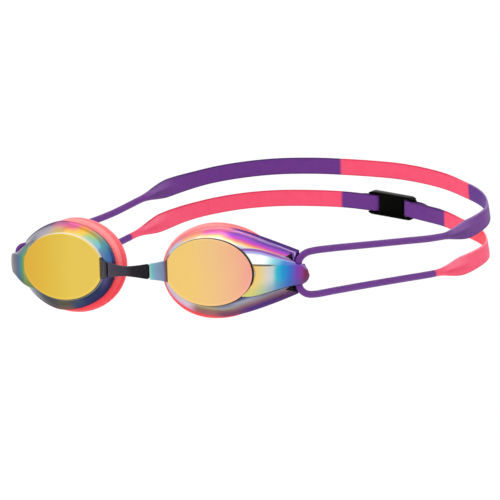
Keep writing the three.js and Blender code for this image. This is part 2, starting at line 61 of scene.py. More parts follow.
# ---- driving dimensions (mm), as in the CAD source unless a comment says otherwise ----
RING_STEPS = 168
OVAL = {"x": 39.5, "y": 1.9, "half_wide": 22.5, "half_high": 14.8}
FACE_TURN = math.radians(3.1)
WALL = 1.7
FACE_THICK = 2.2
SKIRT_START = 1.15  # how far behind the face the skirt begins
RIM_ROUND = 0.3
RIM_BACK = 0.25
RIM = {"nose": 13.5, "tip": 74.4, "half_high": 19.4, "tip_half_high": 9.0, "drop": -0.5, "power": 1.5,
       "nasal_power": 0.9, "blunt_turn": 11}
RIM_Y = {"nose": 5.5, "sweep": 16.5, "power": 3.0, "lean": 0.08}
SEAL = {"x": 37.9, "half_wide": 24.0, "half_high": 17.6}
TUNNEL = {"x": 76.0, "y": 18.4, "z": -1.1, "bore": 1.95, "half_high": 4.2}
LOOP = {"x": 76.3, "y": 18.7, "radius": 3.15, "cord_half": 1.9}
TONGUE = {"start_x": 55.0, "start_y": 3.0, "end_x": 80.3, "end_y": 18.4, "sweep": 1.75, "root_half": 10.3,
          "tip_half": 4.3, "round": 0.885, "panel_root": 4.3, "panel_tip": 3.1, "wall": 2.0, "shelf": 4.0,
          "shelf_tip": 0.6, "crease_root": 2.5, "crease_middle": 4.1, "crease_tip": 1.0}
CORD_CLEAR_X = 74.0
CLEAR = 30  # far enough for a cutting tool to reach past what it cuts
GAP = 0.3  # between neighbouring pieces
CORD_R = 1.55
BAND = {"wide": 7.7, "thick": 1.3}
LEAF = {"wide": 8.6, "opens": 24.0, "settles": 52.0}
BAND_TILT = math.radians(8)
HEAD_MIDDLE_Y = 90.0
HEAD_REAR_Y = 150.0
# The rubber's thin ends lie BRIDGE_REACH nearer the tabs than the CAD's, and its hooks are taller, so that no
# daylight shows between the bridge and the tabs.
BRIDGE_REACH = 0.3
BRIDGE = {"end": 10.7, "waist": 4.4, "end_high": 6.9, "thick": 2.0, "end_thick": 1.3, "bow_y": -4.9,
          "bow": 1.9, "round": 1.0, "trim": 0.8, "hook_half_high": 2.8}
TAB = {"inner": 11.7, "inner_y": -2.85, "outer": 18.2, "outer_y": 1.8, "inner_high": 7.2, "outer_high": 9.8,
       "inner_thick": 1.3, "outer_thick": 1.9, "bow": 0.35, "square_end": 0.2}
HOOK = [(8.4, -3.3), (10.3, -2.4), (10.9, -1.2), (13.6, 0.9), (13.0, 1.8), (9.6, -0.6), (8.0, -2.6)]
BUCKLE = {"x": -4.8, "long": 26.1, "high": 10.9, "corner": 3.4, "plate": 1.7, "wall": 4.0, "plate_half": 6.3,
          "slot": 2.3, "ahead": 1.7, "raised": 0.9, "play": 0.5, "bevel": 0.4}
TAIL = {"long": 17.0, "clear": 1.2, "step": 0.6, "trim": 0.5, "round": 1.3}
TAB_RINGS = 14
TAIL_RINGS = 40
RIB = {"high": 0.16, "pitch": 2.1, "first": 3, "last": 13}
REAR = BAND["thick"] + 2 * GAP + BUCKLE["plate"]  # depth of a folded-back strap
SLOT_MIDDLE = BUCKLE["plate_half"] + BUCKLE["slot"] / 2
FOLD_REACH = 3.4
LIFT = 0.35

UPPER_ROUTE = [
    (76, 18.4, 0.9), (76, 18.7, 4.4), (76.2, 20.4, 6.3), (76.5, 23.6, 7.6), (76.9, 28.5, 8.1),
    (77.8, 42, 7.9), (78.9, 65, 7.0), (79.9, 95, 5.8), (80.5, 120, 4.9), (80.1, 137.5, 5.2),
    (79.1, 153.5, 6.8), (75.7, 170, 9.6), (68, 183, 12.3), (56.6, 194.7, 15.2), (40.2, 204.6, 18.3),
    (27.7, 209.3, 20.8), (14.1, 212.2, 22.8), (0, 213, 24.4), (-14.1, 212.2, 25.3), (-27.7, 209.7, 26.0),
    (-40.5, 205.6, 26.6), (-57.3, 196.9, 26.7), (-69.3, 186.4, 25.8), (-77.4, 174.3, 24.4),
    (-81, 158, 22.6), (-81.2, 140, 20.8), (-80.8, 122, 18.2), (-79.9, 95, 13.4), (-78.9, 65, 10.0),
    (-77.8, 42, 7.6), (-76.8, 28.5, 6.2), (-76.4, 24, 5.9), (-76.2, 21.2, 5.7), (-76.1, 19.5, 5.0),
    (-76, 18.6, 4.0), (-76, 18.4, 0.9),
]
LOWER_ROUTE = [
    (76, 18.4, -3.1), (76, 18.6, -6.6), (76.2, 20.2, -8.6), (76.5, 23.6, -10.3), (76.9, 28.5, -11.0),
    (77.8, 42, -10.9), (78.9, 65, -10.8), (79.9, 95, -10.9), (80.5, 120, -11.0), (80.1, 137.5, -10.3),
    (78.7, 153.5, -8.8), (74.9, 170, -6.6), (67, 183, -4.5), (56, 194.7, -2.3), (39.8, 204.6, 0.4),
    (27.7, 209.3, 3.2), (14.1, 212.2, 5.3), (0, 213, 7.5), (-14.1, 212.2, 9.3), (-27.7, 209.7, 10.7),
    (-40.5, 205.6, 11.4), (-57.3, 196.9, 11.8), (-69.3, 186.4, 11.2), (-77.4, 174.3, 9.9), (-81, 158, 8.3),
    (-81.2, 140, 6.2), (-80.8, 122, 3.5), (-79.9, 95, -1.2), (-78.9, 65, -5.6), (-77.8, 42, -7.7),
    (-76.8, 28.5, -8.2), (-76.4, 24, -8.1), (-76.2, 21.2, -7.9), (-76.1, 19.5, -7.2), (-76, 18.6, -6.2),
    (-76, 18.4, -3.1),
]
# Where the leaves start to open (Y on each side) and where the strap changes colour (X behind the head, or
# Y at the lower cords).
UPPER_CUTS = {"leaf_right": 126, "leaf_left": 119, "pink_right": 47, "pink_left": -29.5}
LOWER_CUTS = {"leaf_right": 120, "leaf_left": 113.3, "pink_right": 27.5, "pink_left": -29.5,
              "cord_right": 118, "cord_left": 109.8}


# ---- small helpers ----
def mix(a, b, t):
    return a + (b - a) * t


def smooth(low, high, x):
    t = np.clip((x - low) / (high - low), 0.0, 1.0)
    return t * t * (3 - 2 * t)


def unit(v):
    return v / np.linalg.norm(v)


def srgb(red, green, blue):
    """Linear colour from the 0 to 255 numbers of a screen colour."""
    linear = []
    for value in (red, green, blue):
        c = value / 255
        linear.append(c / 12.92 if c <= 0.04045 else ((c + 0.055) / 1.055) ** 2.4)
    return (*linear, 1.0)


def mesh_object(name, points, faces, materials=(), slots=None):
    """Closed mesh from points in mm, with outward faces. slots gives each face's material."""
    mesh = bpy.data.meshes.new(name)
    mesh.from_pydata((np.asarray(points, float) * MM).tolist(), [], faces)
    for material in materials:
        mesh.materials.append(material)
    if slots is not None:
        mesh.polygons.foreach_set("material_index", slots)
    work = bmesh.new()
    work.from_mesh(mesh)
    bmesh.ops.recalc_face_normals(work, faces=work.faces)
    work.to_mesh(mesh)
    work.free()
    obj = bpy.data.objects.new(name, mesh)
    bpy.context.scene.collection.objects.link(obj)
    return obj


def loft(name, rings, materials=(), slot=0, closed=False):
    """Closed solid through rings of equal point counts, capped at both ends or joined in a loop. slot is one
    material slot number for all of it, or one for each ring."""
    count = len(rings[0])
    ring_slots = [slot] * len(rings) if isinstance(slot, int) else slot
    faces = []
    slots = []
    pairs = len(rings) if closed else len(rings) - 1
    for r in range(pairs):
        here = r * count
        onward = ((r + 1) % len(rings)) * count
        for i in range(count):
            j = (i + 1) % count
            faces.append((here + i, here + j, onward + j, onward + i))
            slots.append(ring_slots[r])
    if not closed:
        last = (len(rings) - 1) * count
        faces.append(tuple(reversed(range(count))))
        faces.append(tuple(range(last, last + count)))
        slots += [ring_slots[0], ring_slots[-1]]
    return mesh_object(name, np.concatenate(rings), faces, materials, slots)


def extrude_up(name, outline, low, high, materials=(), slot=0):
    """Prism over an outline in the XY plane."""
    rings = [[(x, y, z) for x, y in outline] for z in (low, high)]
    return loft(name, rings, materials, slot)


def extrude_back(name, outline, front, rear, materials=(), slot=0):
    """Prism over an outline in the XZ plane, running along Y."""
    rings = [[(x, y, z) for x, z in outline] for y in (front, rear)]
    return loft(name, rings, materials, slot)


def ellipse(x, y, half_wide, half_high, sides=64):
    """Points round an ellipse or a circle."""
    turns = [2 * math.pi * i / sides for i in range(sides)]
    return [(x + half_wide * math.cos(t), y + half_high * math.sin(t)) for t in turns]


def standing_cylinder(name, x, y, radius, low, high, materials=(), slot=0):
    return extrude_up(name, ellipse(x, y, radius, radius), low, high, materials, slot)


def apply_modifiers(obj):
    """Puts the modified mesh in place of the object's own."""
    bpy.context.view_layer.update()
    result = bpy.data.meshes.new_from_object(obj.evaluated_get(bpy.context.evaluated_depsgraph_get()))
    obj.modifiers.clear()
    old = obj.data
    obj.data = result
    result.name = obj.name
    bpy.data.meshes.remove(old)


def combine(target, tool, operation):
    """Boolean of two closed meshes. The tool is used up."""
    modifier = target.modifiers.new("combine", "BOOLEAN")
    modifier.operation = operation
    modifier.solver = "EXACT"
    modifier.object = tool
    apply_modifiers(target)
    spent = tool.data
    bpy.data.objects.remove(tool)
    bpy.data.meshes.remove(spent)
    return target


def shade(obj, sharp_degrees=34):
    """Smooth shading, broken only where two faces meet at a real edge."""
    work = bmesh.new()
    work.from_mesh(obj.data)
    bmesh.ops.remove_doubles(work, verts=work.verts, dist=1e-7)
    bmesh.ops.dissolve_degenerate(work, edges=work.edges, dist=1e-7)
    for face in work.faces:
        face.smooth = True
    limit = math.radians(sharp_degrees)
    for edge in work.edges:
        if len(edge.link_faces) == 2:
            edge.smooth = edge.calc_face_angle(0.0) < limit
    work.to_mesh(obj.data)
    work.free()
    return obj


def store(obj, name, values):
    """A number for each point of the mesh, read by the material."""
    attribute = obj.data.attributes.new(name, "FLOAT", "POINT")
    attribute.data.foreach_set("value", np.asarray(values, np.float32))


def points_mm(obj):
    co = np.zeros(len(obj.data.vertices) * 3, np.float32)
    obj.data.vertices.foreach_get("co", co)
    return co.reshape(-1, 3).astype(float) / MM


def stands_for(obj, name, node, body=None):
    """Names a piece, hides the CAD node that it replaces, and fixes it to its body when one is given."""
    obj.name = name
    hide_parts(node)
    if body:
        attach(obj, body)


# ---- material building blocks ----
class Look:
    """A node material under construction, with short names for the nodes it uses. In blends and ramps a
    colour is given as its 0 to 255 screen numbers, or as the output of another node."""

    def __init__(self, name):
        self.material = bpy.data.materials.new(name)
        self.material.use_nodes = True
        self.tree = self.material.node_tree
        self.shader = self.tree.nodes["Principled BSDF"]

    def node(self, kind, **settings):
        node = self.tree.nodes.new(kind)
        for key, value in settings.items():
            setattr(node, key, value)
        return node

    def feed(self, socket, given):
        """Links a node's output to a socket, or gives the socket its own value."""
        if isinstance(given, bpy.types.NodeSocket):
            self.tree.links.new(given, socket)
        else:
            socket.default_value = given

    def set(self, **values):
        """Sets the shader's inputs. In their names, _ stands for a space."""
        for name, given in values.items():
            self.feed(self.shader.inputs[name.replace("_", " ")], given)

    def attribute(self, name):
        return self.node("ShaderNodeAttribute", attribute_name=name).outputs["Fac"]

    def position(self):
        return self.node("ShaderNodeTexCoord").outputs["Object"]

    def axis(self, letter):
        split = self.node("ShaderNodeSeparateXYZ")
        self.feed(split.inputs[0], self.position())
        return split.outputs[letter]

    def spread(self, source, low, high, to_low=0.0, to_high=1.0, soft=False):
        """Source from low to high, mapped to to_low to to_high and held there beyond them."""
        node = self.node("ShaderNodeMapRange", interpolation_type="SMOOTHSTEP" if soft else "LINEAR")
        for index, given in enumerate((source, low, high, to_low, to_high)):
            self.feed(node.inputs[index], given)
        return node.outputs[0]

    def band(self, source, rises, falls):
        """1 between two places of a measure and 0 outside them. rises and falls are (from, to) pairs."""
        return self.product(self.spread(source, *rises), self.spread(source, *falls, 1.0, 0.0))

    def ramp(self, source, stops):
        node = self.node("ShaderNodeValToRGB")
        elements = node.color_ramp.elements
        while len(elements) > 1:
            elements.remove(elements[-1])
        for index, (place, *color) in enumerate(stops):
            element = elements[0] if index == 0 else elements.new(place)
            element.position = place
            element.color = srgb(*color)
        self.feed(node.inputs[0], source)
        return node.outputs[0]

    def blend(self, factor, first, second):
        node = self.node("ShaderNodeMix", data_type="RGBA")
        self.feed(node.inputs["Factor"], factor)
        for index, color in ((6, first), (7, second)):
            self.feed(node.inputs[index], srgb(*color) if isinstance(color, tuple) else color)
        return node.outputs[2]

    def sum(self, first, second, operation="ADD"):
        node = self.node("ShaderNodeMath", operation=operation)
        self.feed(node.inputs[0], first)
        self.feed(node.inputs[1], second)
        return node.outputs[0]

    def product(self, first, second):
        return self.sum(first, second, "MULTIPLY")

    def noise(self, scale, detail=2.0):
        node = self.node("ShaderNodeTexNoise")
        node.inputs["Scale"].default_value = scale
        node.inputs["Detail"].default_value = detail
        self.feed(node.inputs["Vector"], self.position())
        return node.outputs["Fac"]

    def uneven(self, scale, low, high):
        """A measure that wanders between low and high."""
        return self.spread(self.noise(scale), 0.3, 0.7, low, high)

    def grain(self, scale, distance, detail=3.0):
        """Fine bumps, distance metres deep."""
        node = self.node("ShaderNodeBump")
        node.inputs["Strength"].default_value = 1.0
        node.inputs["Distance"].default_value = distance
        self.feed(node.inputs["Height"], self.noise(scale, detail))
        self.set(Normal=node.outputs[0])


# ---- silicone, rubber and plastic ----
# Each strap colour's face tone, its edge tone of painted shade, its lit tone of painted highlight, and its
# inside tone of painted shade for the right-hand bend.
STRAP_TONES = {
    "strap_purple": {"face": (104, 50, 134), "edge": (62, 26, 92), "lit": (142, 104, 168),
                     "inside": (78, 28, 132)},
    "strap_pink": {"face": (242, 82, 114), "edge": (214, 38, 76), "lit": (252, 136, 156),
                   "inside": (255, 24, 48)},
}
SOFT_CUT = 0.7  # mm over which the two strap colours run into each other
RIGHT_SIDE = (0.030, 0.060)  # X from which the strap's upper edge turns from painted shade to a painted highlight
BEND_X = (0.042, 0.063)  # the bend behind the right temple, whose inner side gets painted shade
BEND_Y = (0.130, 0.150)
# Painted highlight above a leaf's ridge and painted shade below it: tone, share, and where across the strap
# each one rises and falls.
LEAF_SHADES = [("lit", 0.45, (0.0, 0.35), (0.9, 1.0)), ("edge", 0.5, (-0.75, -0.3), (-0.1, 0.15))]


def silicone(name, other):
    """Moulded strap silicone. Its lower edge has painted shade, and so has the upper one except on the right
    side, where it has a painted highlight. Each leaf has a painted highlight above its ridge and painted
    shade below it, the inner side of the right-hand bend is deeper in colour with painted shade, and at a cut
    the colour runs into the other one."""
    look = Look(name)
    tones = STRAP_TONES[name]
    across = look.attribute("across")
    # Edge tone: painted shade, turning to a painted highlight on the right side.
    rim = look.blend(look.spread(look.axis("X"), *RIGHT_SIDE), tones["edge"], tones["lit"])
    base = look.blend(look.spread(across, 0.8, 1.0, soft=True), tones["face"], rim)
    base = look.blend(look.spread(across, -0.8, -1.0, soft=True), base, tones["edge"])
    # Painted highlight above each leaf's ridge and painted shade below it.
    leaf = look.attribute("leaf")
    for tone, share, rises, falls in LEAF_SHADES:
        shaded = look.product(leaf, look.band(across, rises, falls))
        base = look.blend(look.product(shaded, share), base, tones[tone])
    # Painted shade on the inner side of the right-hand bend.
    bend = look.product(look.spread(look.axis("X"), *BEND_X), look.spread(look.axis("Y"), *BEND_Y))
    base = look.blend(look.product(bend, look.attribute("inward")), base, tones["inside"])
    cut = look.spread(look.attribute("from_cut"), 0.0, SOFT_CUT, 0.5, 0.0, soft=True)
    base = look.blend(cut, base, STRAP_TONES[other]["face"])
    streak = look.spread(look.noise(240.0, 4.0), 0.45, 0.75, 0.0, 0.16)
    look.set(Base_Color=look.blend(streak, base, tones["edge"]), Roughness=look.uneven(420.0, 0.42, 0.54),
             Specular_IOR_Level=0.14, Subsurface_Weight=0.08, Subsurface_Radius=(1.0, 0.45, 0.6),
             Subsurface_Scale=0.0008)
    look.grain(2600.0, 0.00002)
    return look.material


def gasket_silicone():
    """Two moulded bands: a pale front shoulder, a thin groove with painted shade, and a deeper coloured lip.
    """
    look = Look("gasket_silicone")
    height = look.axis("Z")
    # Painted shade darkens the groove, and the seat where the gasket meets the skirt.
    base = look.ramp(look.attribute("crest"), [
        (0.0, 236, 44, 62), (0.40, 250, 72, 88), (0.49, 232, 48, 68), (0.52, 180, 20, 44),
        (0.575, 184, 22, 46), (0.61, 252, 118, 122), (0.85, 253, 132, 132), (1.0, 236, 84, 100)])
    # Painted highlight paling the top of the ring.
    base = look.blend(look.spread(height, -0.004, 0.020, 0.0, 0.28, soft=True), base, (255, 176, 170))
    # Painted shade deepening the colour towards the bottom of the ring.
    base = look.blend(look.spread(height, -0.014, 0.012, 0.9, 0.0, soft=True), base, (236, 32, 52))
    look.set(Base_Color=base, Roughness=look.uneven(300.0, 0.34, 0.46), Specular_IOR_Level=0.4,
             Subsurface_Weight=0.15, Subsurface_Radius=(1.0, 0.35, 0.35), Subsurface_Scale=0.0015)
    look.grain(1800.0, 0.00002)
    return look.material


def bridge_rubber():
    look = Look("bridge_rubber")
    # Painted light and shade along the bridge: paler on the left half, nearly black towards the right end.
    base = look.ramp(look.spread(look.axis("X"), -0.010, 0.010),
                     [(0.0, 56, 49, 64), (0.52, 52, 46, 60), (0.68, 20, 17, 24), (1.0, 8, 7, 11)])
    speck = look.spread(look.noise(700.0, 3.0), 0.35, 0.65, 0.0, 0.05)
    look.set(Base_Color=look.blend(speck, base, (110, 100, 120)), Roughness=look.uneven(500.0, 0.30, 0.42),
             Specular_IOR_Level=0.14)
    look.grain(2200.0, 0.00002)
    return look.material


def buckle_plastic():
    look = Look("buckle_plastic")
    speck = look.spread(look.noise(900.0, 3.0), 0.4, 0.7, 0.0, 0.25)
    look.set(Base_Color=look.blend(speck, (1, 1, 0), (6, 6, 5)), Roughness=look.uneven(260.0, 0.12, 0.20),
             Specular_IOR_Level=0.03)
    look.grain(1500.0, 0.00003, 2.0)
    return look.material


# ---- mirror coating ----
RAIL_SPAN = 12.0  # mm in from the rim that the film bands are laid out over
SECTOR_SOFT = 9.0  # degrees over which one sector's bands run into the next
GRAZING_TINT = 0.5  # how much of the coating's reflection is left where it is seen edge on
METALLIC = 0.92
HIGHLIGHT_WHITE = (250, 252, 252)
# Film bands: the coating's interference colours, with painted reflection laid in. The white stops are painted
# highlight on the upward-facing skirt, and the dark bands on the left eyecup's lower skirt are painted
# reflection.
# Each sector starts at a turn in degrees, measured from the temple over the top, and lists
# (mm in from the rim, red, green, blue).
RIGHT_SECTORS = [
    (0, [(0.0, 70, 38, 112), (0.8, 84, 44, 128), (1.2, 188, 160, 222), (1.7, 104, 56, 146),
          (2.4, 146, 78, 196), (3.2, 206, 74, 190), (3.9, 244, 132, 110), (4.5, 250, 214, 140),
          (5.2, 222, 222, 226), (5.8, 160, 140, 208), (6.5, 196, 222, 240), (7.6, *HIGHLIGHT_WHITE), (8.7, *HIGHLIGHT_WHITE),
          (9.8, 196, 168, 108)]),
    (38, [(0.0, 78, 40, 120), (0.7, 96, 48, 134), (1.1, 226, 150, 208), (1.6, 140, 74, 176),
          (2.3, 168, 88, 212), (3.2, 212, 84, 186), (4.0, 248, 150, 112), (4.6, 250, 222, 160),
          (5.4, 232, 236, 236), (7.0, *HIGHLIGHT_WHITE)]),
    (66, [(0.0, 240, 118, 132), (0.8, 246, 130, 140), (1.5, 232, 100, 168), (2.4, 222, 104, 190),
          (3.2, 248, 160, 120), (4.0, 244, 210, 150), (4.7, 226, 224, 218)]),
    (104, [(0.0, 244, 126, 132), (1.3, 250, 140, 126), (2.3, 250, 170, 122), (3.3, 240, 206, 160),
          (4.4, 214, 220, 214)]),
    (140, [(0.0, 238, 120, 150), (1.0, 232, 150, 190), (2.2, 214, 196, 214), (3.6, 176, 200, 200)]),
    (200, [(0.0, 226, 140, 160), (1.2, 222, 170, 196), (2.6, 200, 186, 198), (3.8, 190, 180, 190)]),
    (238, [(0.0, 176, 88, 96), (1.4, 150, 92, 92), (2.6, 140, 106, 92), (3.6, 164, 150, 118),
          (4.6, 128, 118, 88)]),
    (278, [(0.0, 128, 60, 96), (1.4, 116, 62, 92), (2.6, 130, 96, 92), (3.6, 150, 148, 150),
          (4.8, 112, 116, 140)]),
    (308, [(0.0, 84, 48, 118), (1.4, 74, 42, 122), (2.4, 116, 74, 100), (3.6, 142, 124, 128),
          (4.8, 150, 156, 172), (6.0, 56, 62, 112), (8.0, 130, 164, 176), (9.5, 196, 190, 120)]),
    (335, [(0.0, 64, 34, 88), (1.4, 84, 46, 92), (2.6, 112, 84, 100), (4.0, 132, 124, 140),
          (5.2, 62, 56, 118), (6.6, 140, 164, 170), (8.8, 206, 186, 112)]),
]
LEFT_SECTORS = [
    (0, [(0.0, 70, 52, 92), (1.0, 110, 106, 136), (4.0, 100, 118, 152), (8.0, 84, 136, 150),
          (10.5, 96, 160, 120)]),
    (34, [(0.0, 70, 48, 90), (0.8, 112, 96, 130), (2.0, 176, 168, 186), (4.0, 190, 178, 190),
          (6.0, 200, 180, 140)]),
    (64, [(0.0, 110, 70, 120), (0.7, 190, 110, 150), (1.8, 222, 130, 160), (2.8, 214, 170, 130),
          (4.2, 206, 182, 110)]),
    (88, [(0.0, 206, 80, 130), (1.0, 222, 96, 156), (2.0, 232, 112, 120), (3.0, 222, 158, 70),
          (4.6, 206, 178, 90)]),
    (112, [(0.0, 216, 110, 90), (1.2, 224, 160, 44), (2.6, 206, 172, 60), (3.8, 190, 180, 110),
          (4.8, 180, 180, 140)]),
    (130, [(0.0, 130, 130, 120), (1.0, 170, 160, 70), (2.2, 120, 170, 120), (3.6, 150, 168, 160)]),
    (146, [(0.0, 70, 76, 110), (1.0, 84, 150, 150), (2.2, 90, 160, 170), (3.6, 120, 150, 170)]),
    (160, [(0.0, 46, 42, 90), (1.0, 60, 100, 160), (2.0, 60, 116, 166), (3.4, 96, 116, 160)]),
    (176, [(0.0, 34, 26, 60), (1.2, 52, 46, 90), (2.4, 80, 72, 120), (3.6, 72, 64, 110)]),
    (200, [(0.0, 44, 26, 74), (1.4, 36, 40, 86), (2.6, 32, 48, 86), (3.6, 30, 34, 70)]),
    (236, [(0.0, 60, 34, 70), (1.2, 42, 62, 100), (2.4, 50, 68, 94), (3.8, 60, 68, 76)]),
    (258, [(0.0, 130, 70, 74), (1.2, 96, 84, 70), (2.6, 78, 74, 60), (4.2, 84, 82, 66)]),
    (288, [(0.0, 100, 62, 76), (1.4, 74, 72, 74), (3.0, 64, 66, 68), (4.6, 60, 66, 76)]),
    (320, [(0.0, 80, 76, 100), (2.0, 92, 102, 124), (5.0, 74, 106, 126), (9.0, 80, 144, 116)]),
]
# Each eyecup's other colours, as stops (share of the way, red, green, blue), and where they lie. The
# mirror, tab and edge are graded along an axis from one place to another (m).
RIGHT = {
    "sectors": RIGHT_SECTORS,
    "span": (0.06, 0.081), "reaches": (0.05, 0.056), "fold_fades": (0.0712, 0.068),
    "panel": [(0.0, 238, 176, 110), (0.1, 244, 196, 112), (0.22, 226, 206, 140), (0.32, 214, 206, 190),
        (0.43, 190, 206, 206), (0.5, 60, 184, 200), (0.6, 26, 150, 205), (0.72, 52, 108, 192),
        (0.81, 116, 62, 178), (0.88, 140, 56, 140), (0.93, 116, 44, 78), (1.0, 110, 40, 70)],
    "foot": [(0.0, 190, 206, 110), (0.25, 140, 180, 150), (0.45, 110, 140, 180), (0.7, 70, 90, 170),
        (1.0, 110, 40, 80)],
    # The bevel's white end and the pale start of the slope above are painted highlight.
    "bevel": [(0.0, 255, 255, 252), (0.26, 248, 255, 253), (0.4, 150, 215, 225), (0.6, 60, 140, 205),
        (0.8, 120, 90, 190), (1.0, 120, 50, 110)],
    "above": [(0.0, 214, 228, 214), (0.35, 206, 206, 196), (0.7, 160, 130, 170), (1.0, 110, 70, 120)],
    # The line is painted shade at the panel's fold, and the dark outline is painted shade in the gap at the
    # oval's edge.
    "stripe": (166, 166, 222), "crease": (144, 88, 178), "line": (66, 54, 34),
    "outline": (90, 78, 66), "outline_share": 0.8, "tab_metallic": METALLIC,
    # The mirror is the coating's own gold, graded from side to side by painted reflection.
    "mirror": ("X", 0.017, 0.062, [(0.0, 237, 197, 108), (0.3, 238, 198, 114), (0.55, 236, 192, 130),
        (0.8, 238, 178, 138), (1.0, 238, 160, 146)]),
    "tab": ("X", 0.0105, 0.0185, [(0.0, 216, 232, 224), (0.14, 150, 206, 186), (0.3, 112, 176, 186),
        (0.5, 124, 150, 178), (0.8, 116, 134, 166), (0.92, 110, 74, 76), (1.0, 96, 60, 60)]),
    # The oval's edge: a paler painted reflection on the nasal side, darkening with painted shade towards the
    # temple.
    "edge": ("X", 0.017, 0.062, [(0.0, 150, 130, 90), (0.6, 104, 92, 76), (0.8, 60, 50, 34),
        (1.0, 40, 32, 20)]),
}
LEFT = {
    "sectors": LEFT_SECTORS,
    "span": (-0.081, -0.06), "reaches": (-0.056, -0.06), "fold_fades": (-0.05, -0.049),
    "panel": [(0.0, 72, 62, 88), (0.35, 84, 80, 108), (0.5, 84, 94, 134), (0.58, 62, 106, 152),
        (0.69, 60, 136, 146), (0.78, 84, 152, 98), (0.88, 170, 170, 80)],
    "foot": [(0.0, 62, 52, 78), (0.4, 60, 70, 104), (0.65, 44, 90, 120), (0.85, 70, 110, 80)],
    "bevel": [(0.0, 80, 72, 98), (0.4, 90, 94, 122), (0.66, 70, 128, 146), (0.8, 100, 156, 112)],
    "above": [(0.0, 84, 74, 100), (0.6, 110, 108, 130), (1.0, 160, 152, 172)],
    "stripe": (104, 104, 130), "crease": (72, 58, 96), "line": (110, 130, 120),
    # The pale outline is a painted highlight at the oval's edge.
    "outline": (236, 226, 190), "outline_share": 0.7, "tab_metallic": 0.0,
    # The mirror is the coating's own gold, graded from side to side by painted reflection.
    "mirror": ("X", -0.062, -0.017, [(0.0, 219, 170, 58), (0.3, 221, 182, 62), (0.6, 225, 194, 80),
        (1.0, 228, 195, 84)]),
    # The left tab's near-black is painted reflection: the same coating as the right tab, reflecting dark.
    "tab": ("X", -0.0185, -0.0105, [(0.0, 34, 28, 38), (0.3, 36, 32, 44), (1.0, 40, 36, 49)]),
    # The oval's edge: painted shade at the bottom and a pale painted highlight at the top.
    "edge": ("Z", -0.015, 0.015, [(0.0, 90, 92, 84), (0.3, 120, 118, 104), (0.6, 214, 206, 176),
        (1.0, 232, 222, 190)]),
}


def coating(look, color, metallic=METALLIC):
    look.set(Base_Color=color, Metallic=metallic, Specular_Tint=(GRAZING_TINT,) * 3 + (1.0,),
             Roughness=look.uneven(160.0, 0.10, 0.17), Coat_Weight=0.25 * metallic, Coat_Roughness=0.05)
    return look.material


def graded(name, field, low, high, stops, metallic=METALLIC):
    """Coating whose colour runs along one axis."""
    look = Look(name)
    place = look.sum(look.spread(look.axis(field), low, high), look.uneven(60.0, -0.03, 0.03))
    if not metallic:
        look.set(Specular_IOR_Level=0.2)
    return coating(look, look.ramp(place, stops), metallic)


def tongue_layer(look, tones):
    """Coating of the tongue: graded along the panel, paler with painted highlight on the slope above it,
    lined at the crease;
    on the right eyecup the bevel at the panel's top edge carries a white painted highlight.
    """
    along = look.sum(look.spread(look.axis("X"), *tones["span"]), look.uneven(90.0, -0.02, 0.02))
    level = look.attribute("level")
    foot = look.spread(level, -1.0, -0.45, 0.75, 0.0, soft=True)
    color = look.blend(foot, look.ramp(along, tones["panel"]), look.ramp(along, tones["foot"]))
    # The bevel at the panel's top edge and the slope above the crease carry painted highlight.
    for low, high, tone in ((-0.06, 0.04, "bevel"), (0.68, 0.82, "stripe"), (0.88, 0.96, "crease"),
                            (1.04, 1.14, "above")):
        layer = tones[tone] if isinstance(tones[tone], tuple) else look.ramp(along, tones[tone])
        color = look.blend(look.spread(level, low, high, soft=True), color, layer)
    return color


def film(name, tones):
    """Interference bands that follow the rim, with painted reflection and painted highlight in them, the
    tongue's coating where it runs out of the skirt, and an outline of painted light and shade at the oval's
    edge.
    """
    look = Look(name)
    turn = look.attribute("turn")
    rail = look.sum(look.spread(look.attribute("rail"), 0.0, RAIL_SPAN), look.uneven(120.0, -0.012, 0.012))
    layers = [look.ramp(rail, [(place / RAIL_SPAN, *tone) for place, *tone in stops])
              for start, stops in tones["sectors"]]
    color = layers[0]
    for (start, stops), layer in zip(tones["sectors"][1:], layers[1:]):
        reached = look.spread(turn, start - SECTOR_SOFT, start + SECTOR_SOFT, soft=True)
        color = look.blend(reached, color, layer)
    share = look.band(look.attribute("level"), (0.02, 0.10), (1.06, 1.16))
    share = look.product(share, look.spread(look.axis("X"), *tones["reaches"]))
    color = look.blend(share, color, tongue_layer(look, tones))
    # Outline just outside the oval's edge: painted shade on the right eyecup, a painted highlight on the
    # left.
    rim = look.spread(look.attribute("beyond"), 0.15, 0.5, 0.8, 0.0)
    color = look.blend(look.product(rim, tones["outline_share"]), color, tones["outline"])
    return coating(look, color)


def tongue_film(name, tones):
    """The tongue's coating, with a thin dark line of painted shade where the panel folds over."""
    look = Look(name)
    # Thin line of painted shade at the fold.
    fold = look.band(look.attribute("level"), (-0.07, -0.02), (0.0, 0.05))
    fold = look.product(fold, look.spread(look.axis("X"), *tones["fold_fades"]))
    return coating(look, look.blend(fold, tongue_layer(look, tones), tones["line"]))


def eyecup_materials(side, tones, inner):
    """One material for each slot number of an eyecup."""
    return [graded(f"mirror_{side}", *tones["mirror"]), film(f"film_{side}", tones),
            tongue_film(f"tongue_{side}", tones), graded(f"tab_{side}", *tones["tab"], tones["tab_metallic"]),
            inner, graded(f"edge_{side}", *tones["edge"], metallic=0.0)]


# ---- eyecup shape (worked out for x > 0) ----
RING = np.linspace(0, 2 * math.pi, RING_STEPS, endpoint=False)


def oval_ring(inset, back):
    """Outline of the optical face, smaller by inset and moved back at right angles to the face."""
    along = (OVAL["half_wide"] - inset) * np.cos(RING)
    high = (OVAL["half_high"] - inset) * np.sin(RING)
    x = OVAL["x"] + along * math.cos(FACE_TURN) - back * math.sin(FACE_TURN)
    y = OVAL["y"] + along * math.sin(FACE_TURN) + back * math.cos(FACE_TURN)
    return np.column_stack([x, y, high])


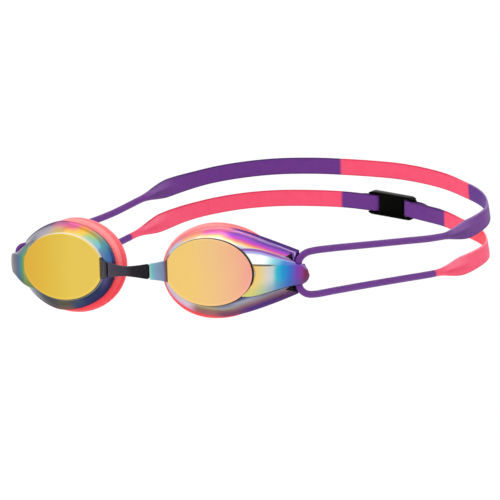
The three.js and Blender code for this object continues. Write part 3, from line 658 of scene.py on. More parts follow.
def face_ring(share):
    """Ring on the flat face, at a share of the oval's size."""
    centre = np.array([OVAL["x"], OVAL["y"], 0.0])
    return centre + (oval_ring(0, 0) - centre) * share


def rim_y(x, z=0.0):
    """How far back the rim lies: it sweeps back towards the temple and leans back at the top."""
    reach = np.clip((x - RIM["nose"]) / (RIM["tip"] - RIM["nose"]), 0, 1.2)
    return RIM_Y["nose"] + RIM_Y["sweep"] * reach ** RIM_Y["power"] + RIM_Y["lean"] * z


def rim_ring(inset, back=0.0):
    """The rim's outline: an oval on the nasal half, and on the temple half a taper with a blunt tip."""
    middle = (RIM["nose"] + RIM["tip"]) / 2
    half = (RIM["tip"] - RIM["nose"]) / 2 - inset
    x = middle + half * np.cos(RING)
    side = np.sin(RING)
    nasal = (RIM["half_high"] - inset) * np.sign(side) * np.abs(side) ** RIM["nasal_power"]
    reach = np.clip((x - middle) / half, 0, 1)
    blunt = np.minimum(1, np.abs(side) / math.sin(math.radians(RIM["blunt_turn"])))
    taper = mix(RIM["tip_half_high"], RIM["half_high"], 1 - reach ** RIM["power"]) - inset
    temple = np.sign(side) * taper * blunt + RIM["drop"] * reach
    z = np.where(x > middle, temple, nasal)
    return np.column_stack([x, rim_y(x, z) + back, z])


def blend_rings(front, rear, t, out):
    """Ring at a share of the way from front to rear, moved outward by out."""
    ring = mix(front, rear, t)
    away = ring - np.array([OVAL["x"], 0, 0])
    away[:, 1] = 0
    away /= np.linalg.norm(away, axis=1)[:, None]
    return ring + away * out


# Shares of the way from the oval to the rim at which the skirt has a ring.
SKIRT = [0.0, 0.08, 0.16, 0.26, 0.36, 0.46, 0.56, 0.66, 0.74, 0.79, 0.82, 0.85, 0.88, 0.92, 0.96, 1.0]
MIRROR, FILM, TONGUE_FACE, TAB_FACE, INNER, EDGE = range(6)            # an eyecup's material slots
SKIRT_BULGE = 0.85
HOLLOW_BULGE = 0.9
QUARTERS = (0.0, 0.25, 0.5, 0.75, 1.0)


def skirt_out(t):
    """How far the skirt stands out from a straight taper: a soft bulge, a groove, and the rim's bead."""
    groove = 0.40 * math.exp(-(((t - 0.82) / 0.035) ** 2))
    bead = 0.45 * float(smooth(0.84, 0.90, t)) * (1.0 - 0.3 * t)
    return SKIRT_BULGE * math.sin(math.pi * t) + bead - groove


def bulged(front, rear, places, bulge):
    """Rings at shares of the way from front to rear, bulging outward in between."""
    return [blend_rings(front, rear, t, bulge * math.sin(math.pi * t)) for t in places]


def cup(materials):
    """The flat oval face, its edge, the skirt out to the rim, and the hollow inside."""
    rings = [face_ring(share) for share in (0.06, 0.35, 0.6, 0.8, 0.93)]
    rings += [oval_ring(0.45, 0.0), oval_ring(0.12, 0.12), oval_ring(0.0, 0.40), oval_ring(0.0, 0.95)]
    slots = [MIRROR] * 6 + [EDGE] * 3
    front = oval_ring(-0.25, SKIRT_START)
    rear = rim_ring(0.0)
    rings += [blend_rings(front, rear, t, skirt_out(t)) for t in SKIRT]
    rings.append(rim_ring(RIM_ROUND, RIM_BACK))
    slots += [FILM] * (len(SKIRT) + 1)
    rings.append(rim_ring(WALL - RIM_ROUND, RIM_BACK))
    hollow = (1.0, 0.85, 0.7, 0.55, 0.4, 0.25, 0.1, 0.0)
    rings += bulged(oval_ring(WALL, FACE_THICK), rim_ring(WALL), hollow, HOLLOW_BULGE)
    back = np.array([-math.sin(FACE_TURN), math.cos(FACE_TURN), 0]) * FACE_THICK
    rings += [face_ring(share) + back for share in (0.85, 0.5, 0.06)]
    slots += [INNER] * (len(rings) - len(slots))
    return loft("cup", rings, materials, slots)


def cavity():
    """The hollow inside the skirt, run on past the rim."""
    rings = bulged(oval_ring(WALL, FACE_THICK), rim_ring(WALL), QUARTERS, HOLLOW_BULGE)
    return loft("cavity", rings + [rim_ring(WALL, 8.0)], slot=INNER)


def outer_body():
    """Body whose surface runs inside the skirt's wall, so that inner walls end within it."""
    rings = bulged(oval_ring(WALL / 3, SKIRT_START), rim_ring(WALL / 3, -0.4), QUARTERS, SKIRT_BULGE)
    return loft("outer_body", rings, slot=INNER)


def temple_wall(materials):
    """Wall that closes the eye cavity on its temple side, behind the optical face."""
    outline = []
    for grow, sign in ((WALL / 2, 1), (-WALL / 2, -1)):
        for t in np.radians(np.linspace(-72, 72, 25)) * sign:
            outline.append((SEAL["x"] + (SEAL["half_wide"] + grow) * math.cos(t),
                            (SEAL["half_high"] + grow) * math.sin(t)))
    wall = extrude_back("temple_wall", outline, 0, CLEAR, materials, INNER)
    return combine(wall, outer_body(), "INTERSECT")


def window_back(materials):
    """Wall just inside the rim at the temple end, which backs the two small windows."""
    places = (66, 70, CORD_CLEAR_X)
    outline = [(x, rim_y(x) - 2.2) for x in places] + [(x, rim_y(x) + 3.0) for x in reversed(places)]
    wall = extrude_up("window_back", outline, -12, 12, materials, INNER)
    return combine(wall, outer_body(), "INTERSECT")


def window(side, materials):
    """Small opening between the tongue and a rail, widest beside the cord."""
    upper = [(70.6, 6.5), (72.6, 8.1), (75.5, 7.4), (75.5, 4.2)]
    lower = [(70.6, -7.9), (72.2, -6.4), (75.5, -6.2), (75.5, -8.2), (73.2, -9.1)]
    return extrude_back("window", upper if side > 0 else lower, 8, 19.4, materials, INNER)


def rounded_section(half_deep, low, high, corner, steps=5):
    """Rounded rectangle as (deep, up) points, from low to high."""
    points = []
    for deep, up, start in ((1, 1, 0), (-1, 1, 90), (-1, -1, 180), (1, -1, 270)):
        for i in range(steps + 1):
            t = math.radians(start + 90 * i / steps)
            level = (high if up > 0 else low) - up * corner
            points.append((deep * (half_deep - corner) + corner * math.cos(t), level + corner * math.sin(t)))
    return points


def softened(corners, radii, steps=5):
    """Outline through corners, each one rounded off over its own radius."""
    points = []
    for i, radius in enumerate(radii):
        here = np.array(corners[i])
        ends = []
        for other in (corners[i - 1], corners[(i + 1) % len(corners)]):
            away = np.array(other) - here
            length = np.linalg.norm(away)
            ends.append(here + away * min(radius / length, 0.45))
        for t in np.linspace(0, 1, steps):
            points.append(mix(mix(ends[0], here, t), mix(here, ends[1], t), t))
    return points


def tongue_at(share):
    """Place and section heights of the tongue, from its root (0) to its rounded tip (1)."""
    beyond = max(0.0, (share - TONGUE["round"]) / (1 - TONGUE["round"]))
    taper = mix(TONGUE["root_half"], TONGUE["tip_half"], smooth(0.1, 1, share))
    half = taper * math.sqrt(1 - beyond ** 2)
    level = TUNNEL["z"] * share ** 2
    top = level + half
    crease = mix(TONGUE["crease_root"], TONGUE["crease_middle"], math.sin(math.pi * share ** 0.8))
    return {
        "x": mix(TONGUE["start_x"], TONGUE["end_x"], share),
        "y": mix(TONGUE["start_y"], TONGUE["end_y"], share ** TONGUE["sweep"]),
        "low": level - half,
        "top": top,
        "panel": min(mix(TONGUE["panel_root"], TONGUE["panel_tip"], share), top - 0.25),
        "crease": mix(crease, TONGUE["crease_tip"], smooth(0.82, 1, share)),
        "shelf": mix(TONGUE["shelf"], TONGUE["shelf_tip"], smooth(0.56, 0.80, share)),
    }


def tip_shares(first, count):
    """Shares along the tongue, closing up where its tip rounds off."""
    turned = np.sin(np.radians(np.linspace(0, 82, 14)))
    return np.concatenate([np.linspace(first, TONGUE["round"], count)[:-1],
                           TONGUE["round"] + (1 - TONGUE["round"]) * turned])


def tongue(materials):
    """A flat front panel with a roof that slopes back to the crease and a floor below."""
    rings = []
    wall = TONGUE["wall"]
    for share in tip_shares(0, 34):
        at = tongue_at(share)
        top, low, panel, shelf = (at[key] for key in ("top", "low", "panel", "shelf"))
        deep = at["crease"] + shelf
        floor = 1.6 + shelf
        corners = [(0, low), (0, panel), (at["crease"], top), (deep, top + shelf / 5), (deep, top - 0.7),
                   (wall, panel - 0.6), (wall, low + 0.5), (floor, low + 0.5), (floor, low - 0.2)]
        radii = (0.9, 0.35, 0.4, 0.2, 0.1, 0.2, 0.1, 0.1, 0.2)
        rings.append(np.array([(at["x"], at["y"] + back, z) for back, z in softened(corners, radii)]))
    return loft("tongue", rings, materials, TONGUE_FACE)


def temple_loop(materials):
    """Wall round the tunnel that the cord threads, rounded off to the tongue's outline."""
    low = TUNNEL["z"] - TUNNEL["half_high"]
    high = TUNNEL["z"] + TUNNEL["half_high"]
    body = standing_cylinder("loop", LOOP["x"], LOOP["y"], LOOP["radius"], low, high, materials, TONGUE_FACE)
    web = [(71.5, 15.6), (75.6, 15.6), (76, 21.8), (73.8, 21.4), (71.5, 19.6)]
    combine(body, extrude_up("web", web, low, high, materials, TONGUE_FACE), "UNION")
    stages = [tongue_at(share) for share in tip_shares(0.6, 12)]
    outline = [(at["x"] - 1.5, at["low"] + 0.15) for at in stages]
    outline += [(at["x"] - 1.5, at["top"] - 0.15) for at in reversed(stages)]
    return combine(body, extrude_back("silhouette", outline, 5, CLEAR, materials, TONGUE_FACE), "INTERSECT")


def nose_tab(materials):
    """Tapered tab whose inner end is cut square towards the bridge."""
    rings = []
    reach = unit(np.array([TAB["outer"] - TAB["inner"], TAB["outer_y"] - TAB["inner_y"]]))
    for t in np.linspace(0, 1, TAB_RINGS):
        x = mix(TAB["inner"], TAB["outer"], t)
        y = mix(TAB["inner_y"], TAB["outer_y"], t) - TAB["bow"] * math.sin(math.pi * t)
        half = mix(TAB["inner_high"], TAB["outer_high"], t ** 1.6) / 2
        thick = mix(TAB["inner_thick"], TAB["outer_thick"], t) / 2
        lean = reach[1] * min(1, t / TAB["square_end"])
        rings.append(np.array([(x - lean * deep, y + reach[0] * deep, up)
                               for deep, up in rounded_section(thick, -half, half, 0.4)]))
    return loft("nose_tab", rings, materials, TAB_FACE)


def eye_space():
    """Room in front of the eye, which no part of the tongue may enter."""
    outline = ellipse(SEAL["x"], 0, SEAL["half_wide"] - WALL / 2, SEAL["half_high"] - WALL / 2, RING_STEPS)
    return combine(extrude_back("eye_space", outline, 0, 40, slot=INNER), cavity(), "INTERSECT")


def mirror_x(obj):
    obj.data.transform(Matrix.Scale(-1, 4, (1, 0, 0)))
    obj.data.flip_normals()


def cord_slot(side, materials):
    """Open slot for the cord above or below the loop."""
    outline = [(CORD_CLEAR_X, TUNNEL["y"]), (90, TUNNEL["y"]), (90, 40), (CORD_CLEAR_X, 40)]
    edge = TUNNEL["z"] + side * (TUNNEL["half_high"] + 0.06)
    return extrude_up("cord_slot", outline, *sorted((edge, side * CLEAR)), materials, INNER)


def eyecup(side, materials):
    """Joins the cup, its inner walls, the tongue with its loop, and the nose tab, and cuts their openings."""
    body = cup(materials)
    for way in (1, -1):
        combine(body, window(way, materials), "DIFFERENCE")
        combine(body, cord_slot(way, materials), "DIFFERENCE")
    for wall in (temple_wall(materials), window_back(materials)):
        combine(body, wall, "UNION")
    plate = combine(tongue(materials), eye_space(), "DIFFERENCE")
    for way in (1, -1):
        combine(plate, cord_slot(way, materials), "DIFFERENCE")
    combine(plate, temple_loop(materials), "UNION")
    bore = (TUNNEL["x"], TUNNEL["y"], TUNNEL["bore"])
    combine(plate, standing_cylinder("bore", *bore, -CLEAR, CLEAR, materials, INNER), "DIFFERENCE")
    combine(body, plate, "UNION")
    combine(body, combine(nose_tab(materials), cavity(), "DIFFERENCE"), "UNION")
    shade(body)
    measure_eyecup(body)
    if side == "left":
        mirror_x(body)
    stands_for(body, f"eyecup_{side}_shell", f"eyecup_{side}", f"lens_{side}")


def distance_to(outline, spots):
    """Distance from each spot to a closed outline, both as (x, z)."""
    onward = np.roll(outline, -1, axis=0) - outline
    place = spots[:, None] - outline[None]
    share = np.clip((place * onward).sum(2) / (onward ** 2).sum(1), 0, 1)
    return np.linalg.norm(place - share[..., None] * onward, axis=2).min(1)


def measure_eyecup(body):
    """Stores where each point lies: its turn round the oval, its distance in from the rim and out
    from the oval, and its level on the tongue: -1 at its lower edge, 0 at the panel's top edge and
    1 at the crease."""
    points = points_mm(body)
    spots = points[:, [0, 2]]
    rim = blend_rings(rim_ring(0.0), rim_ring(0.0), 0, skirt_out(1.0))[:, [0, 2]]
    oval = oval_ring(0.0, 0.0)[:, [0, 2]]
    round_oval = np.hypot((spots[:, 0] - OVAL["x"]) / OVAL["half_wide"], spots[:, 1] / OVAL["half_high"])
    stages = [tongue_at(share) for share in np.linspace(0, 0.98, 50)]
    x = [at["x"] for at in stages]
    low, panel, top = (np.interp(spots[:, 0], x, [at[key] for at in stages])
                       for key in ("low", "panel", "top"))
    past_panel = spots[:, 1] - panel
    above = past_panel / (top - panel)
    below = past_panel / (panel - low)
    store(body, "turn", np.degrees(np.arctan2(spots[:, 1], spots[:, 0] - OVAL["x"])) % 360)
    store(body, "rail", distance_to(rim, spots))
    store(body, "beyond", distance_to(oval, spots) * np.sign(round_oval - 1))
    store(body, "level", np.where(above > 0, above, below))


# ---- gasket ----
# Section in (outward, back) from the rim: a thin seat, a front shoulder, a groove and a fat lip.
SEAL_SECTION = [(-2.2, 0.0), (-0.6, 0.0), (0.9, 0.0), (2.0, 0.5), (2.8, 1.4), (3.0, 2.1), (2.75, 2.55),
                (3.05, 3.1), (3.3, 4.1), (3.1, 5.3), (2.3, 6.4), (0.9, 7.0), (-0.6, 6.95), (-1.8, 6.1),
                (-2.5, 4.6), (-2.6, 3.0), (-2.55, 1.2)]


def closed_curve(points, per_span=3):
    """Smooth closed line through points."""
    points = np.asarray(points, float)
    made = []
    for i in range(len(points)):
        before, here, onward, after = (points[(i + k) % len(points)] for k in (-1, 0, 1, 2))
        for step in range(per_span):
            t = step / per_span
            square = 2 * before - 5 * here + 4 * onward - after
            cube = 3 * here - before - 3 * onward + after
            made.append(0.5 * (2 * here + (onward - before) * t + square * t ** 2 + cube * t ** 3))
    return np.array(made)


def gasket(side, material):
    """Ring of one section round the eye, seated behind the rim."""
    section = closed_curve(SEAL_SECTION)
    rings = []
    for t in RING:
        centre = np.array([SEAL["x"] + SEAL["half_wide"] * math.cos(t), SEAL["half_high"] * math.sin(t)])
        out = unit(np.array([math.cos(t) / SEAL["half_wide"], math.sin(t) / SEAL["half_high"]]))
        ring = []
        for outward, back in section:
            x, z = centre + out * outward
            ring.append((x, rim_y(x, z) + GAP + back, z))
        rings.append(np.array(ring))
    body = loft("gasket", rings, [material], closed=True)
    store(body, "crest", np.tile(1 - np.clip(section[:, 1] / 5.0, 0, 1), len(rings)))
    shade(body, 60)
    if side == "left":
        mirror_x(body)
    stands_for(body, f"gasket_{side}_seal", f"gasket_{side}", f"lens_{side}")


# ---- nose bridge ----
def nose_bridge(material):
    """Bowed rubber, narrow in the middle and flared at both rounded ends, with a hook behind each tab."""
    end = BRIDGE["end"] + BRIDGE_REACH
    start_round = end - BRIDGE["round"]
    turned = start_round + BRIDGE["round"] * np.cos(np.radians([0, 20, 40, 60, 80]))
    half_places = np.concatenate([turned, np.linspace(end - BRIDGE["round"] * 1.05, 0, 24)])
    rings = []
    for x in np.concatenate([half_places, -half_places[-2::-1]]):
        reach = abs(x) / BRIDGE["end"]
        y = BRIDGE["bow_y"] + BRIDGE["bow"] * reach ** 2
        half = mix(BRIDGE["waist"], BRIDGE["end_high"], reach ** 1.6) / 2
        thick = mix(BRIDGE["thick"], BRIDGE["end_thick"], reach ** 2) / 2
        beyond = max(0.0, abs(x) - start_round)
        trim = BRIDGE["round"] - math.sqrt(max(BRIDGE["round"] ** 2 - beyond ** 2, 0.0))
        trim = min(trim, BRIDGE["trim"])
        outline = rounded_section(thick - trim * 0.3, -half + trim, half - trim, min(0.45, thick - 0.25))
        rings.append(np.array([(x, y + deep, up) for deep, up in outline]))
    body = loft("nose_bridge_body", rings, [material])
    high = BRIDGE["hook_half_high"]
    for side in (-1, 1):
        hook = [(side * x, y) for x, y in HOOK]
        combine(body, extrude_up("hook", hook, -high, high, [material]), "UNION")
    shade(body, 40)
    stands_for(body, "nose_bridge_body", "nose_bridge", "bridge")


# ---- strap routes ----
class Route:
    """Smooth line through a route's points, measured along its length (mm)."""

    def __init__(self, given):
        given = np.asarray(given, float)
        points = np.vstack([2 * given[0] - given[1], given, 2 * given[-1] - given[-2]])
        line = []
        for i in range(1, len(points) - 2):
            line += self.span(*points[i - 1:i + 3])
        line.append(given[-1])
        self.line = np.array(line)
        steps = np.linalg.norm(np.diff(self.line, axis=0), axis=1)
        self.along = np.concatenate([[0], np.cumsum(steps)])
        self.length = self.along[-1]

    @staticmethod
    def span(before, start, end, after, count=60):
        """Centripetal Catmull-Rom points between start and end."""
        gaps = [np.linalg.norm(b - a) ** 0.5 for a, b in ((before, start), (start, end), (end, after))]
        a, b, c = gaps
        reach = end - start
        first = b * ((start - before) / a - (end - before) / (a + b) + reach / b)
        second = b * (reach / b - (after - start) / (b + c) + (after - end) / c)
        square = 3 * reach - 2 * first - second
        cube = first + second - 2 * reach
        return [start + first * t + square * t ** 2 + cube * t ** 3 for t in np.arange(count) / count]

    def at(self, s):
        return np.array([np.interp(s, self.along, self.line[:, k]) for k in range(3)])

    def tangent(self, s):
        return unit(self.at(min(s + 0.3, self.length)) - self.at(max(s - 0.3, 0)))

    def first(self, test):
        return next(s for s, point in zip(self.along, self.line) if test(*point))

    def running_back(self, y):
        """Where the route passes y on its way back on the right side."""
        return self.first(lambda px, py, pz: py > y)

    def behind(self, x):
        """Where the route passes x behind the head."""
        return self.first(lambda px, py, pz: py > HEAD_REAR_Y and px < x)

    def running_forward(self, y):
        """Where the route passes y on its way forward on the left side."""
        return self.first(lambda px, py, pz: px < 0 and py < y)

    def frame(self, s):
        """Centre, width direction and thickness direction of the strap's section."""
        point = self.at(s)
        tangent = self.tangent(s)
        inward = unit(np.array([-point[0], HEAD_MIDDLE_Y - point[1], 0]))
        lean = BAND_TILT * smooth(100, 185, point[1])
        upright = np.array([0, 0, math.cos(lean)]) + inward * math.sin(lean)
        bent = np.array([0, -np.sign(tangent[2] * point[0]), 0.0])
        upright = mix(upright, bent, smooth(0.5, 0.95, abs(tangent[2])))
        wide = unit(upright - tangent * (upright @ tangent))
        return point, wide, unit(np.cross(tangent, wide))


SECTION_HALF = 22  # points along one side of a strap section
RIDGE = 0.8  # share of the cord's roundness left standing in a leaf, where the CAD is flat
FAR = 99.0  # mm, longer than any distance that matters on the strap


def section(half_wide, half_thick, square, ridge=0.0):
    """(across, deep) points: round when square is 2, a flat band with soft edges when it is larger.
    ridge keeps the round cord standing proud in the middle of the band."""
    t = np.linspace(0, 2 * math.pi, 2 * SECTION_HALF, endpoint=False)
    across = half_wide * np.cos(t)
    deep = half_thick * (1 - np.minimum(1, np.abs(np.cos(t))) ** square) ** (1 / square)
    proud = np.sqrt(np.maximum(CORD_R ** 2 - across ** 2, 0)) - half_thick
    deep = deep + np.maximum(proud, 0) * ridge
    return across, deep * np.sign(np.sin(t) + 1e-12)


def leaf_share(past):
    """1 where the cord runs on as a ridge in the leaf, and 0 before the leaf and beyond the ridge."""
    return smooth(0, 10, past) * (1 - smooth(16, 32, past))


def strap_section(past):
    """Section at a distance past the place where the cord starts to open into the band."""
    opened = smooth(0, LEAF["opens"], past)
    settled = smooth(LEAF["opens"], LEAF["settles"], past)
    half_wide = mix(CORD_R * 2, mix(LEAF["wide"], BAND["wide"], settled), opened) / 2
    half_thick = mix(CORD_R * 2, BAND["thick"], opened) / 2
    square = mix(2.0, 5.0, smooth(4, LEAF["opens"], past))
    return section(half_wide, half_thick, square, RIDGE * leaf_share(past))


def ring_from(place, shape):
    point, wide, thick = place
    across, deep = shape
    return point + across[:, None] * wide + deep[:, None] * thick


def strap_mesh(name, rings, shapes, material, cuts=(False, False), leaf=None):
    """Strap solid with its measures stored: where each point lies across the strap, on which side, how far
    from a cut, and how much of the leaf's ridge it has."""
    body = loft(name, rings, [material])
    shade(body, 50)
    run = np.cumsum([0] + [np.linalg.norm(b.mean(0) - a.mean(0)) for a, b in zip(rings, rings[1:])])
    away = np.full(len(run), FAR)
    if cuts[0]:
        away = np.minimum(away, run)
    if cuts[1]:
        away = np.minimum(away, run[-1] - run)
    store(body, "across", np.concatenate([across / max(np.abs(across).max(), 2.4) for across, _ in shapes]))
    store(body, "inward", np.concatenate([deep < 0 for _, deep in shapes]))
    store(body, "from_cut", np.repeat(away, 2 * SECTION_HALF))
    if leaf:
        store(body, "leaf", np.repeat(leaf, 2 * SECTION_HALF))
    return body


def stations(start, end, fine_from=(), step=2.4):
    """Places along a run, close together near the bends and leaves listed in fine_from."""
    places = [start]
    while places[-1] < end - 0.2:
        here = places[-1]
        near = any(low - 2 < here < high for low, high in fine_from)
        places.append(min(here + (0.7 if near else step), end))
    return places


def strap_run(name, route, start, end, leaves, cuts, material):
    """Strap from start to end of its route. leaves says where the cord opens out, on both sides."""
    opening = [(leaves[0], leaves[0] + 40), (leaves[1] - 40, leaves[1] + 2)]
    bending = [(0, 14), (route.length - 14, route.length), (start, start + 2), (end - 2, end + 2)]
    places = stations(start, end, opening + bending)
    past = [min(s - leaves[0], leaves[1] - s) for s in places]
    shapes = [strap_section(p) for p in past]
    rings = [ring_from(route.frame(s), shape) for s, shape in zip(places, shapes)]
    return strap_mesh(name, rings, shapes, material, cuts, [leaf_share(p) for p in past])


# ---- buckle and the strap ends it holds ----
def box_at(name, corner, other, materials=()):
    (x0, y0, z0), (x1, y1, z1) = corner, other
    return extrude_up(name, [(x0, y0), (x1, y0), (x1, y1), (x0, y1)], z0, z1, materials)


def buckle(place, material):
    """Plate with a slot at each end, between an upper and a lower wall, and a raised middle."""
    point, along, thick, wide = place
    face = BAND["thick"] / 2 + GAP
    high = BUCKLE["high"] / 2
    outline = rounded_section(BUCKLE["long"] / 2, -high, high, BUCKLE["corner"], 7)
    inner = BAND["wide"] / 2 + BUCKLE["play"]
    low = face - BUCKLE["ahead"]
    plate_half = BUCKLE["plate_half"]
    slot_end = plate_half + BUCKLE["slot"]
    body = extrude_back("buckle_body_part", outline, low, low + BUCKLE["wall"], [material])
    cuts = [((-20, low - 1), (20, face)), ((-20, face + BUCKLE["plate"]), (20, 10)),
            ((-slot_end, -10), (-plate_half, 10)), ((plate_half, -10), (slot_end, 10))]
    for corner, other in cuts:
        combine(body, box_at("cut", (*corner, -inner), (*other, inner)), "DIFFERENCE")
    raised = box_at("raised", (-plate_half, face - BUCKLE["raised"], -inner - 0.2),
                    (plate_half, face + 0.1, inner + 0.2), [material])
    combine(body, raised, "UNION")
    modifier = body.modifiers.new("bevel", "BEVEL")
    modifier.width = BUCKLE["bevel"] * MM
    modifier.segments = 3
    modifier.limit_method = "ANGLE"
    modifier.angle_limit = math.radians(35)
    modifier.harden_normals = False
    apply_modifiers(body)
    turn = Matrix(np.column_stack([along, thick, wide]).tolist()).to_4x4()
    body.data.transform(Matrix.Translation(Vector(point * MM)) @ turn)
    shade(body, 40)
    stands_for(body, "buckle_clip", "buckle", "buckle_body")


def strap_end(side, name, route, start, end, place, material):
    """Band that reaches the buckle, passes over its end bar, dives through the slot and folds back."""
    point, along, thick, wide = place
    fold = [(2.2, 0), (0.7, 0.25), (0, 1.3), (0, 2.1), (0.8, REAR + 0.1), (2.2, REAR + LIFT),
            (FOLD_REACH, REAR + LIFT)]
    flat = strap_section(FAR)
    places = stations(start, end, [(start, start + 2), (end - 2, end + 2)])
    rings = [ring_from(route.frame(s), flat) for s in places]
    if side < 0:
        rings.reverse()
    folded = Route([(side * (SLOT_MIDDLE + x), y, 0) for x, y in fold])
    for s in np.linspace(0, folded.length, 26):
        x, y, _ = folded.at(s)
        tangent = folded.tangent(s)
        deep = unit(np.cross(along * tangent[0] + thick * tangent[1], wide)) * side
        rings.append(ring_from((point + along * x + thick * y, wide, deep), flat))
    body = strap_mesh("strap_end", rings, [flat] * len(rings), material, (True, False))
    stands_for(body, f"strap_end_{name}_band", f"strap_end_{name}")
    return body


def strap_tail(side, name, route, centre, material):
    """Free end of the strap, ribbed for the fingers and rounded off."""
    start = SLOT_MIDDLE + FOLD_REACH + GAP
    high = REAR + LIFT + TAIL["step"]
    rings = []
    shapes = []
    for t in np.linspace(0, 1, TAIL_RINGS):
        past = start + TAIL["long"] * t
        left = TAIL["long"] * (1 - t)
        point, wide, thick = route.frame(centre - side * past)
        lift = mix(high, BAND["thick"] + TAIL["clear"], smooth(start + 2.5, start + 9, past))
        rounded = TAIL["round"] - math.sqrt(TAIL["round"] ** 2 - max(0.0, TAIL["round"] - left) ** 2)
        wave = max(0.0, math.sin(2 * math.pi * past / RIB["pitch"]))
        rib = RIB["high"] * wave if RIB["first"] < left < RIB["last"] else 0.0
        shape = section(BAND["wide"] / 2 - TAIL["trim"] - rounded, BAND["thick"] / 2 + rib, 6.0)
        rings.append(ring_from((point + thick * lift - wide * TAIL["trim"], wide, thick), shape))
        shapes.append(shape)
    body = strap_mesh("strap_tail", rings, shapes, material)
    stands_for(body, f"strap_tail_{name}_band", f"strap_tail_{name}", f"tail_{name}")


def strap_loop(side, name, material):
    """Short stretch of cord inside the temple loop."""
    shape = section(CORD_R, CORD_R, 2.0)
    rings = []
    for z in np.linspace(TUNNEL["z"] - LOOP["cord_half"], TUNNEL["z"] + LOOP["cord_half"], 7):
        centre = np.array([side * TUNNEL["x"], TUNNEL["y"], z])
        rings.append(ring_from((centre, np.array([1.0, 0, 0]), np.array([0, 1.0, 0])), shape))
    body = strap_mesh("strap_loop", rings, [shape] * len(rings), material)
    stands_for(body, f"strap_loop_{name}_cord", f"strap_loop_{name}", "strap_loops")


def strap_runs(level, route, leaves, runs, materials):
    """Makes the runs of the upper or the lower strap. Each lists its name, ends, slot, and which ends meet
    the other colour. A cord is fixed to no body, and the rest rides on the band."""
    for name, start, end, slot_name, meets in runs:
        body = strap_run(f"strap_{level}_{name}_run", route, start, end, leaves, meets, materials[slot_name])
        fixed = name.startswith("cord")
        stands_for(body, body.name, f"strap_{level}_{name}", None if fixed else f"{level}_band")
        if fixed:
            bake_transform(body)


def straps():
    purple = silicone("strap_purple", "strap_pink")
    materials = {"strap_purple": purple, "strap_pink": silicone("strap_pink", "strap_purple")}
    upper = Route(UPPER_ROUTE)
    cuts = UPPER_CUTS
    leaves = (upper.running_back(cuts["leaf_right"]), upper.running_forward(cuts["leaf_left"]))
    centre = (upper.behind(cuts["pink_right"]), upper.behind(cuts["pink_left"]))
    strap_runs("upper", upper, leaves, [
        ("cord_right", 0, leaves[0], "strap_purple", (False, False)),
        ("right", leaves[0], centre[0], "strap_purple", (False, True)),
        ("centre", *centre, "strap_pink", (True, True)),
        ("left", centre[1], leaves[1], "strap_purple", (True, False)),
        ("cord_left", leaves[1], upper.length, "strap_purple", (False, False))], materials)

    lower = Route(LOWER_ROUTE)
    cuts = LOWER_CUTS
    leaves = (lower.running_back(cuts["leaf_right"]), lower.running_forward(cuts["leaf_left"]))
    right = (lower.running_back(cuts["cord_right"]), lower.behind(cuts["pink_right"]))
    left = (lower.behind(cuts["pink_left"]), lower.running_forward(cuts["cord_left"]))
    strap_runs("lower", lower, leaves, [
        ("cord_right", 0, right[0], "strap_purple", (False, True)),
        ("leaf_right", *right, "strap_pink", (True, True)),
        ("leaf_left", *left, "strap_pink", (True, True)),
        ("cord_left", left[1], lower.length, "strap_purple", (True, False))], materials)

    middle = lower.behind(BUCKLE["x"])
    bar_end = SLOT_MIDDLE + FOLD_REACH + 2 * GAP
    point, wide, thick = lower.frame(middle)
    place = (point, unit(np.cross(thick, wide)), thick, wide)
    for side, name, outer in ((1, "right", right[1]), (-1, "left", left[0])):
        inner = middle - side * bar_end
        body = strap_end(side, name, lower, *sorted((outer, inner)), place, purple)
        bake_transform(body)
        strap_tail(side, name, lower, middle, purple)
    for side, name in ((-1, "left"), (1, "right")):
        strap_loop(side, name, purple)
    buckle(place, buckle_plastic())


# ---- eyecups, gaskets and bridge ----
def eyepieces():
    # Near-black for every inner surface, window cut and wall behind the windows, darker at the bottom:
    # painted shade where the hollows lie in shadow.
    dark = [(0.0, 14, 11, 16), (0.5, 26, 19, 24), (1.0, 40, 30, 34)]
    inner = graded("lens_inner_painted_shade", "Z", -0.018, 0.018, dark, metallic=0.0)
    coral = gasket_silicone()
    for side, tones in (("right", RIGHT), ("left", LEFT)):
        eyecup(side, eyecup_materials(side, tones, inner))
        gasket(side, coral)
    nose_bridge(bridge_rubber())


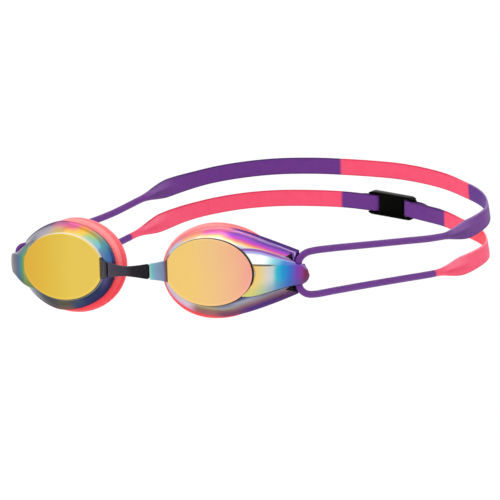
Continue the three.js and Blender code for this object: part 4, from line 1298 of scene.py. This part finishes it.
# ---- camera, light and floor ----
def camera():
    azimuth, elevation, roll = (math.radians(CAMERA[k]) for k in ("azimuth", "elevation", "roll"))
    right = Vector((math.cos(azimuth), math.sin(azimuth), 0))
    level = math.cos(elevation)
    back = Vector((math.sin(azimuth) * level, -math.cos(azimuth) * level, math.sin(elevation)))
    up = back.cross(right)
    turned_right = right * math.cos(roll) - up * math.sin(roll)
    turned_up = up * math.cos(roll) + right * math.sin(roll)
    place = back * CAMERA["distance"] + turned_right * CAMERA_AIM[0] + turned_up * CAMERA_AIM[1]
    turn = Matrix((turned_right, turned_up, back)).transposed().to_4x4()
    data = bpy.data.cameras.new("camera")
    data.sensor_width = 36.0
    data.lens = CAMERA["lens"]
    obj = bpy.data.objects.new("camera", data)
    obj.matrix_world = Matrix.Translation(place) @ turn
    bpy.context.scene.collection.objects.link(obj)
    bpy.context.scene.camera = obj


def area_light(name, place, size, power):
    data = bpy.data.lights.new(name, "AREA")
    data.shape = "DISK"
    data.size = size
    data.energy = power
    obj = bpy.data.objects.new(name, data)
    obj.location = place
    obj.rotation_mode = "QUATERNION"
    obj.rotation_quaternion = (Vector(LIGHT_AIM) - Vector(place)).to_track_quat("-Z", "Y")
    bpy.context.scene.collection.objects.link(obj)


def studio():
    world = bpy.data.worlds.new("studio")
    world.use_nodes = True
    background = world.node_tree.nodes["Background"]
    background.inputs["Color"].default_value = (1, 1, 1, 1)
    background.inputs["Strength"].default_value = SKY_STRENGTH
    bpy.context.scene.world = world
    area_light("key", KEY["place"], KEY["size"], KEY["power"])
    look = Look("floor")
    look.set(Base_Color=(FLOOR["shade"],) * 3 + (1.0,), Roughness=0.9, Specular_IOR_Level=0.0)
    mesh = bpy.data.meshes.new("floor")
    outline = ellipse(0, 0, FLOOR["radius"], FLOOR["radius"])
    mesh.from_pydata([(x, y, -FLOOR["below"]) for x, y in outline], [], [tuple(range(len(outline)))])
    mesh.materials.append(look.material)
    floor = bpy.data.objects.new("floor", mesh)
    bpy.context.scene.collection.objects.link(floor)
    bpy.context.scene.view_settings.view_transform = "Standard"


camera()
studio()
eyepieces()
straps()
